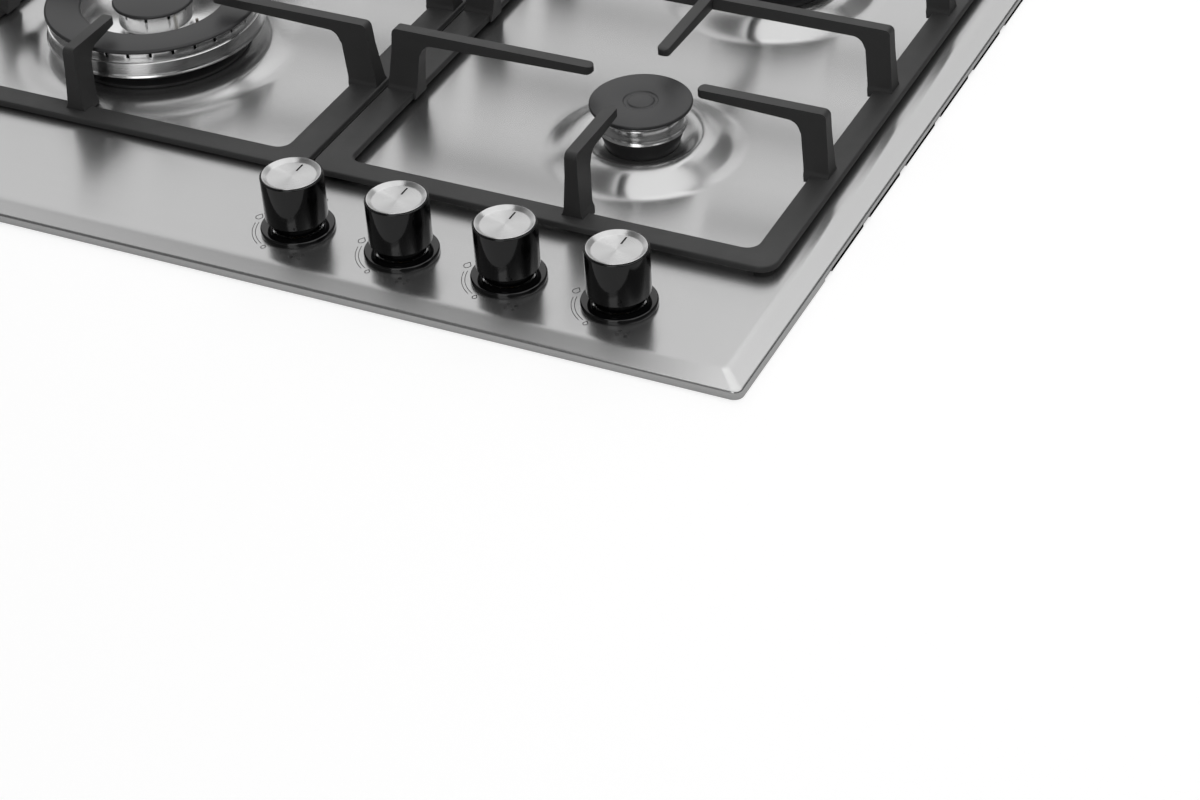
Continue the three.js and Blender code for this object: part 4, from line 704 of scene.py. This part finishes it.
def knob_disc(name, x, y):
    """A dished disc with a square-ended slot for the pointer."""
    bm = bmesh.new()
    dish = FLAT + DISH_LEVEL
    spin_profile(bm, [(0, dish - 0.9), (15.5, dish - 0.9), (15.5, dish + 1.4), (15.4, dish + 1.6),
                      (15.1, dish + 1.7), (14.85, dish + 1.6), (13.1, dish + 0.26), (12.75, dish + 0.08),
                      (DISH_RADIUS, dish), (0, dish)], x, y, 96)

    def arm_of(face):
        return face.calc_center_median() / MM - Vector((x, y, 0))

    def in_dish(face):
        arm = arm_of(face)
        return abs(arm.z - dish) < 0.01 and arm.xy.length < DISH_RADIUS - 0.1

    # four cuts outline the pointer and its floor is sunk
    half = POINTER_WIDTH / 2
    for point, normal in (((x - half, y, 0), (1, 0, 0)), ((x + half, y, 0), (1, 0, 0)),
                          ((x, y + POINTER_START, 0), (0, 1, 0)),
                          ((x, y + POINTER_END, 0), (0, 1, 0))):
        cut(bm, [f for f in bm.faces if in_dish(f)], point, normal)
    slot = [f for f in bm.faces if in_dish(f) and abs(arm_of(f).x) < half
            and POINTER_START < arm_of(f).y < POINTER_END]
    pull(bm, slot, -POINTER_DEPTH)

    # the map runs outwards and round the disc, so that circles and sheen follow the spinning
    turned = bm.loops.layers.uv.new("turned")
    for face in bm.faces:
        middle = face.calc_center_median() - Vector((x, y, 0)) * MM
        heading = math.atan2(middle.y, middle.x)
        for loop in face.loops:
            arm = loop.vert.co - Vector((x, y, 0)) * MM
            swing = 0
            if arm.xy.length > 1e-6:
                swing = math.remainder(math.atan2(arm.y, arm.x) - heading, 2 * math.pi)
            loop[turned].uv = (arm.xy.length, (heading + swing) / (2 * math.pi))
    disc = settled(bm, f"disc_{name}", spun_aluminium, crease=20)
    disc.data.materials.append(pointer_paint)
    for face in disc.data.polygons:
        arm = math.hypot(face.center.x - x * MM, face.center.y - y * MM)
        if (dish - 0.5) * MM < face.center.z < (dish - 0.05) * MM and arm < 12 * MM:
            face.material_index = 1
    return disc


for name, x in zip(CONTROLS, KNOB_PLACES):
    body = ring([(0, 25.3), (4.3, 25.3), (4.3, 6.5), (7.5, 6.5), (7.5, 29), (10.3, 29), (11.3, 3.5),
                 (13.5, 3.5), (13.5, 8.1), (15.9, 8.1), (16.5, 8.7), (16.5, 32.9), (16.1, 33.3),
                 (15.8, 33.3), (15.8, 31.2), (0, 31.2)], x, KNOB_Y, f"knob_{name}", gloss_black, 0.2)
    disc = knob_disc(name, x, KNOB_Y)
    collar = ring([(14, 0), (19.6, 0), (19.6, 2.4), (19, 3), (14, 3)],
                  x, KNOB_Y, f"collar_{name}", gloss_black, 0.25)
    for piece, node, rides in (
            (body, "knob_body", "knob"), (disc, "knob_disc", "knob"), (collar, "knob_collar", "base")):
        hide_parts(f"{node}_{name}")
        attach(piece, rides if rides == "base" else f"knob_{name}")


# ---- Printed signs ----------------------------------------------------------------------
# Grey ink screen printed on the steel: a large and a small flame joined by two arcs on the
# left of each knob, a ring behind it for off, and four dots in front that show its burner.

# Screen ink: matt dark grey, with the dots of the screen drawn 0.4 mm wide, coarser than real.
grey_ink = finish("dark_grey_screen_ink", "303030", 0.0, 0.6)
place = add(grey_ink, "ShaderNodeTexCoord").outputs["Object"]
mesh_dots = add(grey_ink, "ShaderNodeTexNoise", {"Vector": place, "Scale": 2500.0})
ink_tone = add(grey_ink, "ShaderNodeMapRange",
               {"Value": mesh_dots.outputs["Fac"], "To Min": 0.45, "To Max": 0.65})
wire(grey_ink, ink_tone.outputs[0], "Roughness")

INK_LEVEL = FLAT + 0.03
ARC_LINE, FLAME_LINE, RING_LINE, DOT_LINE = 0.35, 0.45, 0.4, 0.3
FLAME_POINT = 0.75
RING_SIZE, RING_Y = 2.6, KNOB_Y + 28.5
DOTS_X, DOTS_Y, DOT_SIZE, OWN_DOT_SIZE = 12.5, KNOB_Y - 23, 1.5, 2.0


def outlined(bm, x, y, width, height, line, pointed=0):
    """A closed line of ink round a flame, a ring or a dot; line 0 fills it. pointed is how far
    the top narrows, from 0 to 1."""
    place = Matrix.Translation((x * MM, y * MM, INK_LEVEL * MM))
    shape = bmesh.ops.create_circle(bm, cap_ends=True, radius=1, segments=28)["verts"]
    for vert in shape:
        narrow = 1 - max(vert.co.y, 0) * pointed
        vert.co = place @ Vector((vert.co.x * narrow * width / 2 * MM, vert.co.y * height / 2 * MM, 0))
    if line:
        face = next(f for f in shape[0].link_faces if len(f.verts) == 28)
        bmesh.ops.inset_region(bm, faces=[face], thickness=line * MM, depth=0, use_even_offset=True,
                               use_boundary=True)
        bmesh.ops.delete(bm, geom=[face], context="FACES")


ink = bmesh.new()
for index, x in enumerate(KNOB_PLACES):
    # two arcs round the knob: radius, first and last angle
    for radius, first, last in ((22.2, 187, 241), (23.9, 189, 238)):
        a = math.radians(first)
        ends = [ink.verts.new(Vector((x + r * math.cos(a), KNOB_Y + r * math.sin(a), INK_LEVEL)) * MM)
                for r in (radius, radius + ARC_LINE)]
        line = ink.edges.new(ends)
        bmesh.ops.spin(ink, geom=ends + [line], cent=(x * MM, KNOB_Y * MM, 0), axis=(0, 0, 1),
                       angle=math.radians(last - first), steps=24, use_merge=False)
    # the large and the small flame at their ends: angle and radius round the knob, width, height
    for angle, radius, width, height in ((175, 24.8, 4.2, 5.6), (249, 23.2, 2.9, 3.8)):
        a = math.radians(angle)
        outlined(ink, x + radius * math.cos(a), KNOB_Y + radius * math.sin(a), width, height,
                 FLAME_LINE, FLAME_POINT)
    outlined(ink, x, RING_Y, RING_SIZE, RING_SIZE, RING_LINE)
    # four dots, as the burners lie and in the knobs' order; the knob's own one is larger and filled
    for dot, (dx, dy) in enumerate(((-2.2, -1.7), (-2.2, 1.7), (2.2, 1.7), (2.2, -1.7))):
        size, line = (OWN_DOT_SIZE, 0) if dot == index else (DOT_SIZE, DOT_LINE)
        outlined(ink, x + DOTS_X + dx, DOTS_Y + dy, size, size, line)
signs = settled(ink, "printed_signs", grey_ink)
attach(signs, "base")


# ---- Studio -----------------------------------------------------------------------------
# A pale floor, a large soft box overhead, another behind and to the left, which the steel
# mirrors, and a narrow one in front that lights the knobs and the lip.
def soft_box(name, place, target, width, height, power):
    """A lit panel, its sizes in metres, that faces a target."""
    lamp = bpy.data.lights.new(name, "AREA")
    lamp.shape = "RECTANGLE"
    lamp.size, lamp.size_y, lamp.energy = width, height, power
    box = bpy.data.objects.new(name, lamp)
    aim = (Vector(target) - Vector(place)).to_track_quat("-Z", "Y").to_matrix().to_4x4()
    box.matrix_world = Matrix.Translation(place) @ aim
    bpy.context.scene.collection.objects.link(box)


soft_box("overhead_box", (0.8, 0.1, 1.8), (0.8, 0.1, 0), 2.4, 2.2, 19)
soft_box("back_box", (-1.2, 2.05, 1.85), (0, 0, 0), 4.2, 2.8, 31)
soft_box("front_box", (0.35, -2.2, 1.4), (0, 0, 0), 1.0, 1.8, 9)

world = bpy.data.worlds.new("studio")
bpy.context.scene.world = world
world.use_nodes = True
backdrop = world.node_tree.nodes["Background"]
backdrop.inputs["Color"].default_value = (1, 1, 1, 1)
# the camera sees a pale backdrop, while the steel mirrors the dim studio between the boxes
direct = add(world, "ShaderNodeLightPath").outputs["Is Camera Ray"]
pale = add(world, "ShaderNodeMapRange", {"Value": direct, "To Min": 0.12, "To Max": 0.9})
world.node_tree.links.new(pale.outputs[0], backdrop.inputs["Strength"])

# The hob is let into a worktop, so the floor lies at the level of the rim and has the cut-out.
# A strip without the floor's glow lies under the rim and ends inside the lip. The sizes are half
# widths and half depths.
INSIDE_LIP = 0.8
CUT_OUT = (280, 240)
RIM_STRIP = (HALF_WIDTH - INSIDE_LIP, HALF_DEPTH - INSIDE_LIP)
FLOOR = (6000, 6000)


def worktop(name, size, opening):
    """A plane in matt pale paint at the level of the worktop, with an opening in it."""
    bm = bmesh.new()
    outside, hole = (rounded_rect(bm, -half_width, half_width, -half_depth, half_depth, FLAT - LIP,
                                  LIP_CORNER, 8) for half_width, half_depth in (size, opening))
    borders = outside.edges[:] + hole.edges[:]
    bmesh.ops.delete(bm, geom=[outside, hole], context="FACES_ONLY")
    fill_between(bm, borders)
    paint = finish(name, "bdbdbd", 0.0, 0.9)
    settled(bm, name, paint)
    return paint


worktop("worktop_under_rim", RIM_STRIP, CUT_OUT)
floor_paint = worktop("pale_floor", FLOOR, RIM_STRIP)
# the camera sees the floor lifted to white by a glow, and mirrors see a share of that glow
GLOW, MIRRORED_SHARE = 0.65, 0.3
path = add(floor_paint, "ShaderNodeLightPath").outputs
mirrored = add(floor_paint, "ShaderNodeMath",
               {0: path["Is Glossy Ray"], 1: path["Is Transmission Ray"]}, operation="ADD")
faint = add(floor_paint, "ShaderNodeMath",
            {0: mirrored.outputs[0], 1: MIRRORED_SHARE}, operation="MULTIPLY")
seen = add(floor_paint, "ShaderNodeMath",
           {0: path["Is Camera Ray"], 1: faint.outputs[0]}, operation="ADD")
lift = add(floor_paint, "ShaderNodeMath", {0: seen.outputs[0], 1: GLOW}, operation="MULTIPLY")
floor_paint.node_tree.nodes["Principled BSDF"].inputs["Emission Color"].default_value = (1, 1, 1, 1)
wire(floor_paint, lift.outputs[0], "Emission Strength")

# The photograph's viewpoint: from the right front, 37 degrees above the hob.
camera = bpy.data.objects.new("camera", bpy.data.cameras.new("camera"))
camera.data.sensor_width = 36
camera.data.lens = 86.30
azimuth, elevation, roll = (math.radians(a) for a in (27.6088, 36.9699, -3.5309))
ahead = Vector((-math.sin(azimuth) * math.cos(elevation),
                math.cos(azimuth) * math.cos(elevation), -math.sin(elevation)))
level = Vector((math.cos(azimuth), math.sin(azimuth), 0))
upright = level.cross(ahead)
right = math.cos(roll) * level + math.sin(roll) * upright
top = -math.sin(roll) * level + math.cos(roll) * upright
facing = Matrix((right, top, -ahead)).transposed().to_4x4()
camera.matrix_world = Matrix.Translation((0.7368, -1.24773, 0.87375)) @ facing
bpy.context.scene.collection.objects.link(camera)
bpy.context.scene.camera = camera
bpy.context.scene.view_settings.view_transform = "Standard"
